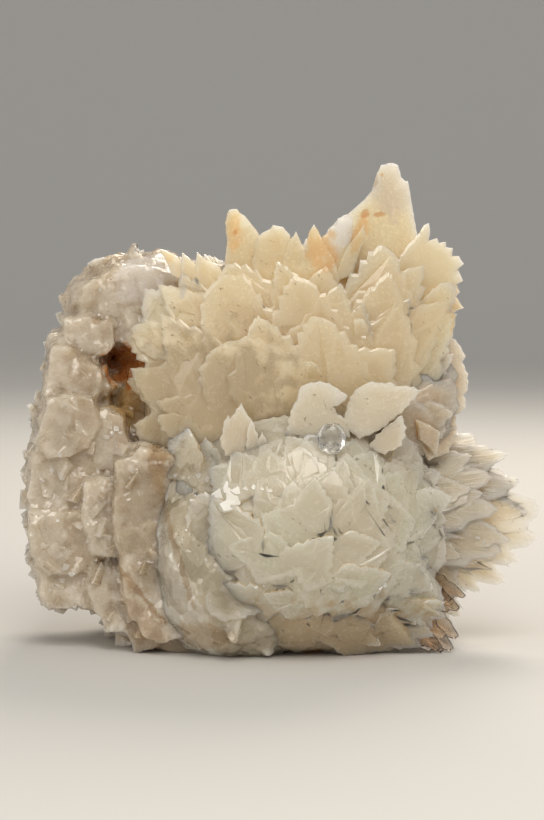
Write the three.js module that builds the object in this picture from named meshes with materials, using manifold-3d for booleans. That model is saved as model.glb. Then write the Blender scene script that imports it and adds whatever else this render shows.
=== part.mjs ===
// Bladed calcite specimen, grown as one piece: broad, toothed calcite plates lie like shingles
// over two rosettes and end in pointed sheaves, on a wall of broken, milky calcite.
// Millimetres, +Z up. X runs to the right along the display face and -Y faces the viewer.
// It rests on the flat cut at its foot, and the origin is at the middle of that level.

import * as THREE from 'three';
import { ConvexGeometry } from 'three/addons/geometries/ConvexGeometry.js';
import { mergeVertices } from 'three/addons/utils/BufferGeometryUtils.js';
import Module from 'manifold-3d';

const wasm = await Module();
wasm.setup();

// Driving dimensions
const PLATE_THICK = 2.8; // a broad plate at its thickest
const BLADE_THICK = 2.4; // a slender blade at its thickest
const ROW_STEP = 1.1; // each row of plates lies this much further out than the one under it
const ROOT_SINK = 2.2; // how deep a plate's root lies under its tip's row
const SPREAD = 1.22; // plates grow this much wider than the space between their neighbours
const POCKET_FRONT = -30; // the pocket is cut from in front of the face
const POCKET_BACK = 4; // to this depth
const CUT_BLOCK = 200; // side of the block that cuts the foot flat
const GRID = 0.01; // corners are placed to the nearest hundredth

// A plate's proportions, as shares of its length and width
const ROOT_HALF = 0.26;
const TAPER = 0.85; // below 1 the plate keeps its width longer on the way to its tip
const NOTCH_STEP = 0.02; // a tooth's notch lies this much ahead of its point
const BITE = 0.8; // and comes in to this share of the width there
const FLAT_ROOT = [0.03, 0.2];
const FLAT_SHOULDER = 0.33;
const FLAT_TIP = [0.83, 0.05];
const KEEL = [[0.1, 0], [0.8, 0]];

// Massive calcite
const LUMP_CORNERS = 11;
const LUMP_SINK = 0.78; // how deep a lump sits in its boulder, as a share of its size
const GOLDEN_ANGLE = Math.PI * (3 - Math.sqrt(5));

// The two rosettes are domes that bulge towards the viewer, with plates on them. A dome's rim
// ends where it has this share of its depth left.
const UPPER = { centre: [4, 4, 58], radii: [40, 20, 46], rimRise: 0.1 };
const LOWER = { centre: [5, -2, 26], radii: [31, 30, 28], rimRise: 0.4 };
// These are the solid hearts under them.
const UPPER_HEART = { centre: [4, 6, 54], radii: [33, 20, 29] };
const LOWER_HEART = { centre: [5, 0, 24], radii: [28, 28, 26] };

const vector = (p) => new THREE.Vector3(...p);
const radians = THREE.MathUtils.degToRad;

// A repeatable number from -size to size for a pair of counters.
function wobble(a, b, size) {
  const s = Math.sin(a * 12.9898 + b * 78.233 + 3.1) * 43758.5453;
  return ((s - Math.floor(s)) * 2 - 1) * size;
}

// Corners and triangles as a solid that can be joined and cut.
function solid(corners, triangles) {
  return new wasm.Manifold(
    new wasm.Mesh({
      numProp: 3,
      vertProperties: new Float32Array(corners.map((c) => Math.round(c / GRID) * GRID)),
      triVerts: new Uint32Array(triangles),
    }),
  );
}

function solidFrom(geometry) {
  geometry.deleteAttribute('normal');
  geometry.deleteAttribute('uv');
  const merged = mergeVertices(geometry, 1e-4);
  return solid([...merged.attributes.position.array], [...merged.index.array]);
}

// One side of a plate's rim from root to tip, as shares of its length and width. It widens to
// the shoulder and then steps back to the tip in teeth that point forward.
function toothedSide({ teeth, shoulder, blunt, seed }) {
  const halfWidth = (u) => {
    const past = Math.max(0, (u - shoulder) / (1 - shoulder));
    return 0.5 * (blunt + (1 - blunt) * (1 - past) ** TAPER);
  };
  const side = [[0, ROOT_HALF]];
  for (let k = 0; k < teeth; k++) {
    const point = shoulder + (1 - shoulder) * (k / teeth) * 0.94 + wobble(seed, k, 0.018);
    const notch = point + NOTCH_STEP;
    side.push([point, halfWidth(point)]);
    side.push([notch, halfWidth(notch) * (BITE + wobble(seed + 1, k, 0.07))]);
  }
  return side;
}

// One plate: a flat crystal, thin at its toothed rim, with a broad flat face in front and a
// low keel along its back.
function plate({
  root, tip, face, width, thick = PLATE_THICK, teeth = 2, shoulder = 0.5, blunt = 0, seed = 1,
}) {
  const along = tip.clone().sub(root);
  const across = face.clone().cross(along).normalize();
  const up = along.clone().cross(across).normalize();
  const at = (u, v, w) =>
    root.clone()
      .addScaledVector(along, u)
      .addScaledVector(across, v * width)
      .addScaledVector(up, w * thick)
      .toArray();

  const left = toothedSide({ teeth, shoulder, blunt, seed });
  const right = toothedSide({ teeth, shoulder, blunt, seed: seed + 50 });
  const end = blunt > 0 ? [[1, blunt * 0.4], [0.97, -blunt * 0.4]] : [[1, 0]];
  const rim = [...left, ...end, ...right.map(([u, v]) => [u, -v]).reverse()];
  const broad = [FLAT_ROOT, [shoulder, FLAT_SHOULDER], [FLAT_TIP[0], FLAT_TIP[1] + blunt * 0.25]];
  const front = [...broad, ...broad.map(([u, v]) => [u, -v]).reverse()];
  const corners = [
    ...rim.map(([u, v]) => at(u, v, 0)),
    ...front.map(([u, v]) => at(u, v, 0.5)),
    ...KEEL.map(([u, v]) => at(u, v, -0.5)),
  ];

  const triangles = [];
  // Joins the rim to a ring of raised corners. Each corner of the rim leans on one of them.
  const bevel = (ring, first, nearest, flip) => {
    const add = (a, b, c) => triangles.push(...(flip ? [a, c, b] : [a, b, c]));
    rim.forEach((corner, i) => {
      const next = (i + 1) % rim.length;
      let held = nearest(corner);
      add(i, first + held, next);
      while (held !== nearest(rim[next])) {
        const step = (held + 1) % ring.length;
        add(first + held, first + step, next);
        held = step;
      }
    });
    for (let k = 1; k < ring.length - 1; k++) add(first, first + k + 1, first + k);
  };
  const onFront = ([u, v]) => {
    const step = u < 0.2 ? 0 : u < (shoulder + 1) / 2 ? 1 : 2;
    return v < 0 ? front.length - 1 - step : step;
  };
  bevel(front, rim.length, onFront, false);
  bevel(KEEL, rim.length + front.length, ([u]) => (u < shoulder ? 0 : 1), true);
  return solid(corners.flat(), triangles);
}

// The depth of a rosette's dome at a place on the display face, and the way it faces there.
function onDome({ centre, radii, rimRise = 0 }, x, z) {
  const dx = (x - centre[0]) / radii[0];
  const dz = (z - centre[2]) / radii[2];
  const rise = Math.sqrt(Math.max(rimRise ** 2, 1 - dx * dx - dz * dz));
  return {
    y: centre[1] - radii[1] * rise,
    face: vector([dx / radii[0], -Math.max(rise, 0.35) / radii[1], dz / radii[2]]).normalize(),
  };
}

// Plates laid on a rosette. Each is given by where its tip and its root lie on the display
// face and by its width, and each row lies on the one before it.
function shingles(dome, rows, first) {
  const made = [];
  const inward = Math.sign(dome.radii[1]);
  rows.forEach((row, level) => {
    row.forEach(([tipX, tipZ, rootX, rootZ, width, more = {}], i) => {
      const seed = first + level * 40 + i;
      const out = level * ROW_STEP;
      const tip = onDome(dome, tipX, tipZ);
      const root = onDome(dome, rootX, rootZ);
      const middle = onDome(dome, (tipX + rootX) / 2, (tipZ + rootZ) / 2);
      const tilt = vector([wobble(seed, 1, 0.1), 0, wobble(seed, 2, 0.1)]);
      made.push(plate({
        tip: vector([tipX, tip.y - out * inward + wobble(seed, 3, 0.5), tipZ]),
        root: vector([rootX, root.y - (out - ROOT_SINK) * inward, rootZ]),
        face: middle.face.clone().add(tilt),
        width: width * SPREAD,
        teeth: level ? 2 : 3,
        seed,
        ...more,
      }));
    });
  });
  return made;
}

// A solid egg, the heart of a rosette.
function egg({ centre, radii }) {
  const shape = new THREE.IcosahedronGeometry(1, 2);
  shape.scale(...radii);
  shape.translate(...centre);
  return solidFrom(shape);
}

// The upper rosette fans up and out from the valley in the middle of the face. Each plate is
// given by its tip's x and z, its root's x and z, and its width.
const upperRows = [
  [
    // The rim, from the left end round to the right
    [-27.5, 72.5, -16, 60, 14],
    [-19.5, 82.5, -10, 64, 14],
    [-9, 91.8, -3, 62, 15, { blunt: 0.24 }],
    [1, 88.5, 2, 62, 15, { blunt: 0.4 }],
    [3.6, 86.5, 4, 68, 6, { teeth: 1 }],
    [8, 88.6, 9.5, 66, 11],
    [19.5, 99, 10, 64, 15, { teeth: 4 }],
    [24, 101.4, 17, 62, 19, { blunt: 0.22, teeth: 4 }],
    [32.3, 88.6, 22, 64, 13],
    [37, 83, 22, 62, 16, { teeth: 4, blunt: 0.25 }],
    [39.3, 77, 21, 60, 15, { teeth: 4, blunt: 0.25 }],
    [39.3, 70.6, 20, 58, 13, { teeth: 4 }],
  ],
  [
    [-24.8, 68, -8, 57, 14],
    [-31, 63, -12, 56, 16],
    [-13, 81, -1, 54, 18],
    [9, 84, 7, 56, 18],
    [20.8, 86, 12, 54, 18],
    [30, 79, 15, 53, 17],
    [36, 66, 20, 52, 14],
  ],
  [
    [-31.5, 56, -6, 49, 15],
    [-27, 51.5, -8, 46, 9],
    [-14.7, 72.5, -3, 47, 16],
    [1, 79, 3, 48, 17],
    [15, 79, 8, 48, 16],
    [30.7, 72.5, 16, 51, 15],
  ],
  [
    [-16, 62, -4, 45, 12],
    [-8.4, 66, 0, 43, 15, { blunt: 0.4 }],
    [7, 71, 4, 45, 15],
    [23, 64, 10, 46, 14],
  ],
];

// The rear of the upper rosette: the same fan, grown backwards.
const UPPER_REAR = { centre: [6, 4, 56], radii: [36, -14, 40] };
const rearRows = [
  [
    [-18, 79, -4, 60, 14],
    [-3, 84, 2, 60, 15],
    [15, 90, 10, 60, 16],
    [29, 86, 16, 58, 15],
    [37, 75, 20, 56, 14],
  ],
];

// The lower rosette is the dome nearest to the viewer. Its plates spread all round from the
// middle, and the innermost ones point up.
const lowerRows = [
  [
    // The rim, clockwise from the top
    [16, 48, 12, 35, 14],
    [29, 43.5, 17, 35, 14],
    [34.5, 33, 18, 31, 14],
    [34.4, 24.6, 17, 29, 13],
    [31, 17.5, 15, 26, 13],
    [28, 9.5, 13, 22, 14],
    [27, 1.5, 12, 14, 14],
    [17, 0.3, 11, 16, 17],
    [4, 0.3, 6, 16, 17],
    [-9, 0.5, 0, 16, 16],
    [-18, 5, -3, 18, 15],
    [-22, 16, -4, 24, 15],
    [-22, 28, -4, 30, 14],
    [-17, 39, -2, 34, 12],
    [0, 46, 4, 35, 13],
  ],
  [
    [-3, 12, 4, 27, 16],
    [8, 12, 10, 27, 15],
    [19, 11, 13, 26, 15],
    [27, 17, 14, 27, 14],
    [29, 28, 15, 30, 14],
    [24, 39, 14, 31, 14],
    [9, 42, 10, 31, 14],
    [-6, 36, 6, 31, 13],
    [-12.5, 22, 4, 27, 15],
  ],
  [
    [5, 36.3, 7, 21, 14],
    [19, 37.6, 14, 22, 15],
    [20, 26, 12, 15, 13],
    [0, 28, 4, 15, 13],
  ],
];

// The rounded lobe on the right, between the rosettes and further back.
const LOBE = { centre: [22, 10, 50], radii: [19, 13, 18] };
const lobeRows = [
  [
    [37, 64.5, 24, 52, 15, { blunt: 0.4 }],
    [39.8, 56, 24, 51, 15, { blunt: 0.4 }],
    [39, 47, 24, 48, 14, { blunt: 0.2 }],
  ],
  [
    [35, 54, 22, 48, 12],
  ],
];

// The long sheaf of pointed blades on the right, and the small thin ones that hang below it.
const FAN = { centre: [26, 6, 26], radii: [34, 13, 24] };
const fanRows = [
  [
    [40.7, 43.6, 26, 38, 10],
    [46, 40.7, 25, 37, 11],
    [50.8, 17.6, 27, 27, 12],
    [48, 13, 27, 25, 11],
    [38.6, 11.3, 28, 21, 8, { thick: BLADE_THICK, teeth: 2 }],
    [39, 5.4, 28, 15, 7, { thick: BLADE_THICK, teeth: 2 }],
    [37.4, 1.5, 27, 13, 6, { thick: BLADE_THICK, teeth: 1 }],
  ],
  [
    [49.4, 33.6, 24, 35, 12],
    [55, 27, 24, 32, 13, { teeth: 4 }],
    [54.8, 22.4, 25, 28, 12, { teeth: 3 }],
    [35.5, 9, 18, 13, 12],
  ],
  [
    [44, 37, 22, 34, 10],
    [45, 23, 22, 29, 11, { teeth: 3 }],
  ],
];

// The blades that stand in the valley between the rosettes.
function valleyBlades() {
  const viewer = vector([0, -1, 0.1]);
  return [
    { tip: [30, -19, 54], root: [10, -19, 46], width: 12, teeth: 4 },
    { tip: [9, -20, 56.5], root: [6, -16, 36], width: 15, blunt: 0.34, thick: 5 },
    { tip: [16, -22, 49], root: [8, -20, 38], width: 9, thick: 4 },
    { tip: [-7.4, -17, 51.5], root: [-6, -17, 34], width: 10, thick: 4, teeth: 4 },
    { tip: [-18.7, -12, 47], root: [-18, -12, 30], width: 8, thick: 3, teeth: 2 },
  ].map(({ tip, root, ...more }, i) =>
    plate({ tip: vector(tip), root: vector(root), face: viewer.clone(), seed: 900 + i, ...more }));
}

// One lump of broken massive calcite: the hull of points scattered round a ball.
function lump(middle, size, seed) {
  const points = [];
  for (let i = 0; i < LUMP_CORNERS; i++) {
    const height = 1 - (2 * i + 1) / LUMP_CORNERS;
    const turn = i * GOLDEN_ANGLE + seed;
    const ring = Math.sqrt(1 - height * height);
    points.push(vector([ring * Math.cos(turn), ring * Math.sin(turn), height])
      .multiplyScalar(size * (1 + wobble(seed, i, 0.16)))
      .add(middle));
  }
  return solidFrom(new ConvexGeometry(points));
}

// A boulder of massive calcite: the hull of an outline on the display face, narrowed towards
// its front and back, with lumps that stand a little out of it all round.
function boulder({ outline, front, back, narrow = 0.74, lumps, size, seed }) {
  const heart = vector([0, (front + back) / 2, 0]);
  outline.forEach(([x, z]) => heart.add(vector([x / outline.length, 0, z / outline.length])));
  const depth = back - front;
  const layers = [
    [front, narrow],
    [front + depth * 0.25, 0.97],
    [front + depth * 0.6, 1],
    [back, narrow],
  ];
  const points = layers.flatMap(([y, scale], layer) => outline.map(([x, z], i) => {
    const grow = scale * (1 + wobble(seed + layer, i, 0.04));
    const nudge = wobble(seed + layer, i + 20, 1.2);
    return vector([heart.x + (x - heart.x) * grow, y + nudge, heart.z + (z - heart.z) * grow]);
  }));
  const hull = new ConvexGeometry(points);
  const skin = new THREE.Mesh(hull, new THREE.MeshBasicMaterial({ side: THREE.DoubleSide }));
  const made = [];
  for (let i = 0; i < lumps; i++) {
    const height = 1 - (2 * i + 1) / lumps;
    const turn = i * GOLDEN_ANGLE + seed;
    const ring = Math.sqrt(1 - height * height);
    const out = vector([ring * Math.cos(turn), ring * Math.sin(turn), height]);
    const { point } = new THREE.Raycaster(heart, out).intersectObject(skin)[0];
    const girth = size * (1 + wobble(seed, i, 0.25));
    made.push(lump(point.addScaledVector(out, -girth * LUMP_SINK), girth, seed + i));
  }
  return [solidFrom(hull), ...made];
}

function massive() {
  return [
    // The wall on the left
    ...boulder({
      outline: [
        [-47.5, 66], [-40, 68], [-29, 62], [-23, 44], [-29, 20],
        [-36, 7], [-47, 9], [-52, 22], [-53, 33], [-50, 46],
      ],
      front: -9, back: 25, narrow: 0.85, lumps: 14, size: 8, seed: 1000,
    }),
    // The lobe above it
    ...boulder({
      outline: [
        [-46, 72], [-44, 76], [-38, 80], [-34, 82], [-24, 82],
        [-13, 78], [-12, 66], [-30, 58], [-43, 66],
      ],
      front: -2, back: 27, narrow: 0.7, lumps: 11, size: 9, seed: 1100,
    }),
    // The slab between the wall and the lower rosette
    ...boulder({
      outline: [[-33, 44], [-20, 46], [-12, 30], [-9, 8], [-18, 4], [-30, 8], [-35, 28]],
      front: -17, back: 20, narrow: 0.82, lumps: 12, size: 7, seed: 1200,
    }),
    // The foot under them
    ...boulder({
      outline: [[-38, 12], [-35, 4], [-28, -1], [-20, -3], [-6, -4], [-6, 20], [-20, 28]],
      front: -12, back: 22, lumps: 6, size: 8, seed: 1300,
    }),
    // The two halves of the back
    ...boulder({
      outline: [[-36, 58], [-24, 72], [-4, 76], [10, 62], [12, 30], [6, 2], [-12, -4], [-28, 0], [-40, 24]],
      front: 2, back: 30, narrow: 0.76, lumps: 11, size: 11, seed: 1400,
    }),
    ...boulder({
      outline: [[-6, 70], [8, 80], [22, 76], [33, 60], [35, 34], [27, 8], [12, -4], [-8, -2], [-12, 30]],
      front: 0, back: 25, narrow: 0.72, lumps: 12, size: 11, seed: 1500,
    }),
  ];
}

// The stained pocket between the wall and the upper rosette.
function pocket() {
  const outline = [[-36.5, 60], [-31, 62], [-27, 58], [-26.5, 52], [-31, 49], [-36, 52]];
  const points = [[POCKET_FRONT, 1.1], [POCKET_BACK, 0.6]].flatMap(([y, scale]) =>
    outline.map(([x, z]) => vector([-31 + (x + 31) * scale, y, 56 + (z - 56) * scale])));
  return solidFrom(new ConvexGeometry(points));
}

function specimen() {
  const grown = wasm.Manifold.union([
    ...massive(),
    egg(UPPER_HEART),
    egg(LOWER_HEART),
  ]).subtract(pocket());
  const bladed = wasm.Manifold.union([
    grown,
    ...shingles(UPPER, upperRows, 100),
    ...shingles(UPPER_REAR, rearRows, 280),
    ...shingles(LOWER, lowerRows, 300),
    ...shingles(LOBE, lobeRows, 500),
    ...shingles(FAN, fanRows, 700),
    ...valleyBlades(),
  ]);
  const below = new THREE.BoxGeometry(CUT_BLOCK, CUT_BLOCK, CUT_BLOCK);
  below.translate(0, 0, -CUT_BLOCK / 2);
  // What the plates enclose between them is filled, so that only the outer skin is left.
  const skins = bladed.subtract(solidFrom(below)).decompose();
  return skins.reduce((largest, skin) => (skin.volume() > largest.volume() ? skin : largest));
}

// The solid as a mesh, moved so that the origin is at the middle of its foot.
function meshOf(body, name, material) {
  const { min, max } = body.boundingBox();
  const centred = body.translate([-(min[0] + max[0]) / 2, -(min[1] + max[1]) / 2, 0]);
  const found = centred.getMesh();
  const geometry = new THREE.BufferGeometry()
    .setAttribute('position', new THREE.BufferAttribute(found.vertProperties, 3))
    .setIndex(new THREE.BufferAttribute(found.triVerts, 1));
  geometry.computeVertexNormals();
  const mesh = new THREE.Mesh(geometry, material);
  mesh.name = name;
  return mesh;
}

// Milky, pale cream calcite with a glassy sheen
const calcite = new THREE.MeshStandardMaterial({ color: 0xd9c7a2, roughness: 0.35, metalness: 0 });
calcite.flatShading = true;

const group = new THREE.Group();
group.add(meshOf(specimen(), 'calcite_cluster', calcite));
export default group;
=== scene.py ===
# Bladed calcite specimen: toothed plates of milky calcite in two rosettes, with a sheaf of
# blades on the right and a wall of broken, massive calcite on the left. Metres, +Z up.
import math
import bmesh
import bpy
import numpy
from mathutils import Matrix, Vector
from mathutils.bvhtree import BVHTree


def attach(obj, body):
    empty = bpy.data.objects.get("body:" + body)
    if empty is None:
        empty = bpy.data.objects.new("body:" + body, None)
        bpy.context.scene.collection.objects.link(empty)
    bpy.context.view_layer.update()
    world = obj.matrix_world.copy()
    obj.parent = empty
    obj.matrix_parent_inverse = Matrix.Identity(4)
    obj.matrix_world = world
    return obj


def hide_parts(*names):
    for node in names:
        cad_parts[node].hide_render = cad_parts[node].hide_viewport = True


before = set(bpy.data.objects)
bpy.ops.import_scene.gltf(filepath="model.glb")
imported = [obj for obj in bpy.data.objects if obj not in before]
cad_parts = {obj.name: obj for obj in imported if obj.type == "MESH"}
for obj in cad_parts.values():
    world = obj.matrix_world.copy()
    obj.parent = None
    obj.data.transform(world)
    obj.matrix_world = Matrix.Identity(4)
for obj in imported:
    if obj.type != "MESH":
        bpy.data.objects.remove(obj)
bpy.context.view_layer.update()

scene = bpy.context.scene


class Value:
    """A socket in a material, with arithmetic that adds the Math nodes for it."""

    def __init__(self, tree, socket):
        self.tree = tree
        self.socket = socket

    def node(self, kind, settings=None, out=0, **inputs):
        """Adds a node of a type, sets its settings and then fills its sockets."""
        made = self.tree.nodes.new(kind)
        for name, value in (settings or {}).items():
            setattr(made, name, value)
        for name, value in inputs.items():
            key = int(name[1:]) if name[0] == "_" else name.replace("_", " ")
            if isinstance(value, Value):
                self.tree.links.new(value.socket, made.inputs[key])
            else:
                made.inputs[key].default_value = value
        return Value(self.tree, made.outputs[out])

    def maths(self, operation, *values):
        """Adds a Math node that works on values and numbers."""
        inputs = {f"_{i}": value for i, value in enumerate(values)}
        return self.node("ShaderNodeMath", {"operation": operation}, **inputs)

    def __add__(self, other):
        return self.maths("ADD", self, other)

    def __sub__(self, other):
        return self.maths("SUBTRACT", self, other)

    def __rsub__(self, other):
        return self.maths("SUBTRACT", other, self)

    def __mul__(self, other):
        return self.maths("MULTIPLY", self, other)

    def to(self, low, high):
        """0 below low and 1 above high, with a smooth change between."""
        return self.node(
            "ShaderNodeMapRange", {"interpolation_type": "SMOOTHSTEP"},
            Value=self, From_Min=low, From_Max=high,
        )

    def between(self, low, high):
        """The first colour where this value is 0, and the second where it is 1."""
        return self.node("ShaderNodeMix", {"data_type": "RGBA"}, 2, _0=self, _6=low, _7=high)


def material(name, **constants):
    """A new material with values that are the same all over, and a place to start its maths."""
    made = bpy.data.materials.new(name)
    made.use_nodes = True
    shader = made.node_tree.nodes["Principled BSDF"]
    for socket, value in constants.items():
        shader.inputs[socket.replace("_", " ")].default_value = value
    return made, shader, Value(made.node_tree, None)


def start_with(primitive, **settings):
    """Deselects everything and adds one primitive, which is then the selected object."""
    bpy.ops.object.select_all(action="DESELECT")
    primitive(**settings)
    return bpy.context.object


FLOOR_WIDE = 3.0
FLOOR_RISE = 2.0  # how far it goes up behind
FLOOR_SWEEP = 0.8  # the radius of the bend there
FLOOR_BACK = 1  # all that lies further back than this is its back edge

floor = start_with(bpy.ops.mesh.primitive_plane_add, size=FLOOR_WIDE)
floor.name = "floor"
bpy.ops.object.mode_set(mode="EDIT")
bpy.ops.mesh.select_mode(type="EDGE")
bpy.ops.mesh.select_all(action="DESELECT")
floor_mesh = bmesh.from_edit_mesh(floor.data)
for edge in floor_mesh.edges:
    edge.select_set(all(corner.co.y > FLOOR_BACK for corner in edge.verts))
bmesh.update_edit_mesh(floor.data)
bpy.ops.mesh.extrude_region_move(TRANSFORM_OT_translate={"value": (0, 0, FLOOR_RISE)})
floor_mesh = bmesh.from_edit_mesh(floor.data)
for edge in floor_mesh.edges:
    edge.select_set(all(corner.co.y > FLOOR_BACK and corner.co.z < 0.1 for corner in edge.verts))
bmesh.update_edit_mesh(floor.data)
bpy.ops.mesh.bevel(offset=FLOOR_SWEEP, segments=16)
bpy.ops.object.mode_set(mode="OBJECT")
bpy.ops.object.shade_smooth()
floor_material = material("pale floor", Base_Color=(0.68, 0.67, 0.65, 1), Roughness=0.7)[0]
floor.data.materials.append(floor_material)
scene.view_settings.view_transform = "Standard"

MIDDLE_HEIGHT = 0.050
scene.world = bpy.data.worlds.new("studio")
scene.world.use_nodes = True
surround = scene.world.node_tree.nodes["Background"]
surround.inputs["Color"].default_value = (1.0, 0.98, 0.95, 1)
surround.inputs["Strength"].default_value = 0.38


def panel(name, place, size, power, colour):
    """A square lamp that shines on the middle of the specimen."""
    data = bpy.data.lights.new(name, "AREA")
    data.size = size
    data.energy = power
    data.color = colour
    light = bpy.data.objects.new(name, data)
    scene.collection.objects.link(light)
    light.location = place
    away = Vector(place) - Vector((0, 0, MIDDLE_HEIGHT))
    light.rotation_euler = away.to_track_quat("Z", "Y").to_euler()


panel("key", (0.08, -0.46, 0.54), 0.40, 2.5, (1.0, 0.96, 0.88))
panel("fill", (-0.45, -0.42, 0.22), 0.35, 0.7, (1.0, 0.95, 0.88))
panel("glow", (0.10, 0.40, 0.42), 0.30, 1.9, (1.0, 0.90, 0.76))

# The camera looks at the display face from a little above, from 60 cm away.
PHOTO_WIDE = 544
PHOTO_TALL = 820
MM_A_PIXEL = 0.21
FOOT_ROW = 645  # the photo's row at the level of the flat cut
AXIS_COLUMN = 276  # and the column of the drawing's origin
CAMERA_AWAY = 0.60
CAMERA_RAISED = math.radians(5)
SENSOR = 36.0

view_tall = PHOTO_TALL * MM_A_PIXEL / 1000
aim = Vector((
    (PHOTO_WIDE / 2 - AXIS_COLUMN) * MM_A_PIXEL / 1000,
    0,
    (FOOT_ROW - PHOTO_TALL / 2) * MM_A_PIXEL / 1000,
))
camera_data = bpy.data.cameras.new("camera")
camera_data.sensor_width = SENSOR
camera_data.lens = SENSOR * CAMERA_AWAY / view_tall
camera = bpy.data.objects.new("camera", camera_data)
scene.collection.objects.link(camera)
back = Vector((0, -math.cos(CAMERA_RAISED), math.sin(CAMERA_RAISED)))
camera.location = aim + back * CAMERA_AWAY
camera.rotation_euler = back.to_track_quat("Z", "Y").to_euler()
scene.camera = camera

# The upper rosette: flat, pointed plates of cream calcite that fan up and out over a dome.
# Each grew as a stack of thin layers, and the layers' ends give its edges their small teeth.
MM = 0.001
SHIFT = Vector((0.2, -1.045, 0))  # from the drawing's origin to the middle of the foot
GOLDEN_ANGLE = math.pi * (3 - math.sqrt(5))
PLATE_THICK = 2.2
ROW_STEP = 1.1  # each row of plates lies this much further out than the last
ROOT_SINK = 2.2  # and its roots lie this much deeper than its tips
SPREAD = 1.3  # plates are wider than drawn, because their teeth are cut out of them


def wobble(a, b, size):
    """A repeatable number from -size to size for a pair of counters."""
    s = math.sin(a * 12.9898 + b * 78.233 + 3.1) * 43758.5453
    return ((s - math.floor(s)) * 2 - 1) * size


def pick(piece, kind, test):
    """In edit mode, selects only the corners or faces whose middle passes the test."""
    bpy.ops.mesh.select_mode(type="VERT" if kind == "corners" else "FACE")
    bpy.ops.mesh.select_all(action="DESELECT")
    mesh = bmesh.from_edit_mesh(piece.data)
    if kind == "corners":
        for corner in mesh.verts:
            corner.select = test(corner.co)
        mesh.select_flush(True)
    else:
        for face in mesh.faces:
            face.select_set(test(face.calc_center_median()))
    bmesh.update_edit_mesh(piece.data)


def raise_faces(height, narrow, short, middle=(0, 0.4, 0)):
    """Extrudes the selected faces and draws their rim in towards the middle."""
    bpy.ops.mesh.extrude_region_move(TRANSFORM_OT_translate={"value": (0, 0, height)})
    bpy.ops.transform.resize(value=(narrow, short, 1), center_override=middle)


def half_width(u, blunt, shoulder):
    """Half the width of a leaf-shaped outline, at a share u of its length. It is widest at
    the shoulder, which is a share of its length too."""
    if u < shoulder:
        return 0.27 + 0.23 * math.sin(u / shoulder * math.pi / 2)
    past = (u - shoulder) / (1 - shoulder)
    rounded = min(1, math.sqrt((1 - u) / 0.08))
    return 0.5 * (blunt * rounded + (1 - blunt) * (1 - past) ** 0.94)


def mapped(made):
    """Gives a layer a map that runs across and along it, so that fine growth lines can follow
    it, and marks its keel, the hidden part below its rim, where painted bounce light goes."""
    spread = made.data.uv_layers.active.data
    for corner in made.data.loops:
        place = made.data.vertices[corner.vertex_index].co
        spread[corner.index].uv = (place.x, place.y)
    keel = made.data.attributes.new("keel", "FLOAT", "FACE")
    keel.data.foreach_set("value", [float(face.center.z < -0.02) for face in made.data.polygons])
    return made


def layer(corners, blunt, bite, seed, front=0.14, back=-0.5, edge=0.93, shoulder=0.42, under=0.3):
    """One layer of a plate, one unit long and wide, with its root at the origin, its tip on
    +Y and its front on +Z. Its rim is thin, and each second corner of it is a small tooth."""
    made = start_with(
        bpy.ops.mesh.primitive_circle_add,
        vertices=corners, radius=0.5, fill_type="NGON", location=(0, 0.5, 0),
    )
    bpy.ops.object.transform_apply(location=True)
    bpy.ops.object.mode_set(mode="EDIT")
    spacing = 2.2 / corners
    for k in range(1, corners // 2):
        turn = 2 * math.pi * k / corners
        u = 0.5 + 0.5 * math.cos(turn)
        for side in (-1, 1):
            x = side * 0.5 * math.sin(turn)
            pick(made, "corners", lambda c: (c - Vector((x, u, 0))).length < 1e-4)
            count = k + 30 * side
            tooth = k % 2 == 0
            draw = 1 - (0 if tooth else bite * (1 + wobble(seed, count, 0.9)))
            wide = half_width(u, blunt, shoulder) / abs(x) * draw
            bpy.ops.transform.resize(value=(wide, 1, 1), center_override=(0, u, 0))
            forward = spacing * (0.7 if tooth else 0.0) * min(1, 6 * (1 - u))
            forward += wobble(seed + 7, count, spacing * 0.25) if bite else 0
            bpy.ops.transform.translate(value=(0, forward, 0))
    bpy.ops.mesh.select_all(action="SELECT")
    raise_faces(front, edge, edge + 0.02)
    pick(made, "faces", lambda c: abs(c.z) < 1e-6)
    raise_faces(back, under, (1 + under) / 2)
    bpy.ops.object.mode_set(mode="OBJECT")
    return mapped(made)


def copy_of(master, place, tone=None):
    """A copy with its own mesh, at a place given as a matrix. Its tone, from 0 to 1, is kept
    on its faces, because neighbouring crystals differ a little in colour."""
    made = master.copy()
    made.data = master.data.copy()
    scene.collection.objects.link(made)
    made.matrix_world = place
    if tone is not None:
        faces = made.data.attributes.new("tone", "FLOAT", "FACE")
        faces.data.foreach_set("value", [tone] * len(made.data.polygons))
    return made


def grown_together(name, parts):
    """Joins parts that cross each other into one closed skin, whose object is at the origin."""
    first, *others = parts
    crowd = bpy.data.collections.new("crowd")
    scene.collection.children.link(crowd)
    for other in others:
        scene.collection.objects.unlink(other)
        crowd.objects.link(other)
    bpy.ops.object.select_all(action="DESELECT")
    first.select_set(True)
    bpy.context.view_layer.objects.active = first
    join = first.modifiers.new("join", "BOOLEAN")
    join.operation = "UNION"
    join.solver = "MANIFOLD"
    join.operand_type = "COLLECTION"
    join.collection = crowd
    bpy.ops.object.modifier_apply(modifier="join")
    bpy.ops.object.transform_apply(location=True, rotation=True, scale=True)
    for other in others:
        bpy.data.objects.remove(other)
    bpy.data.collections.remove(crowd)
    first.name = name
    return first


def laid(x, y, z, turn, scale_wide, scale_long, thick):
    """A place on a plate: across, along and out of it, turned in its plane."""
    return (
        Matrix.Translation((x, y, z))
        @ Matrix.Rotation(math.radians(turn), 4, "Z")
        @ Matrix.Diagonal((scale_wide, scale_long, thick, 1))
    )


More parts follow.
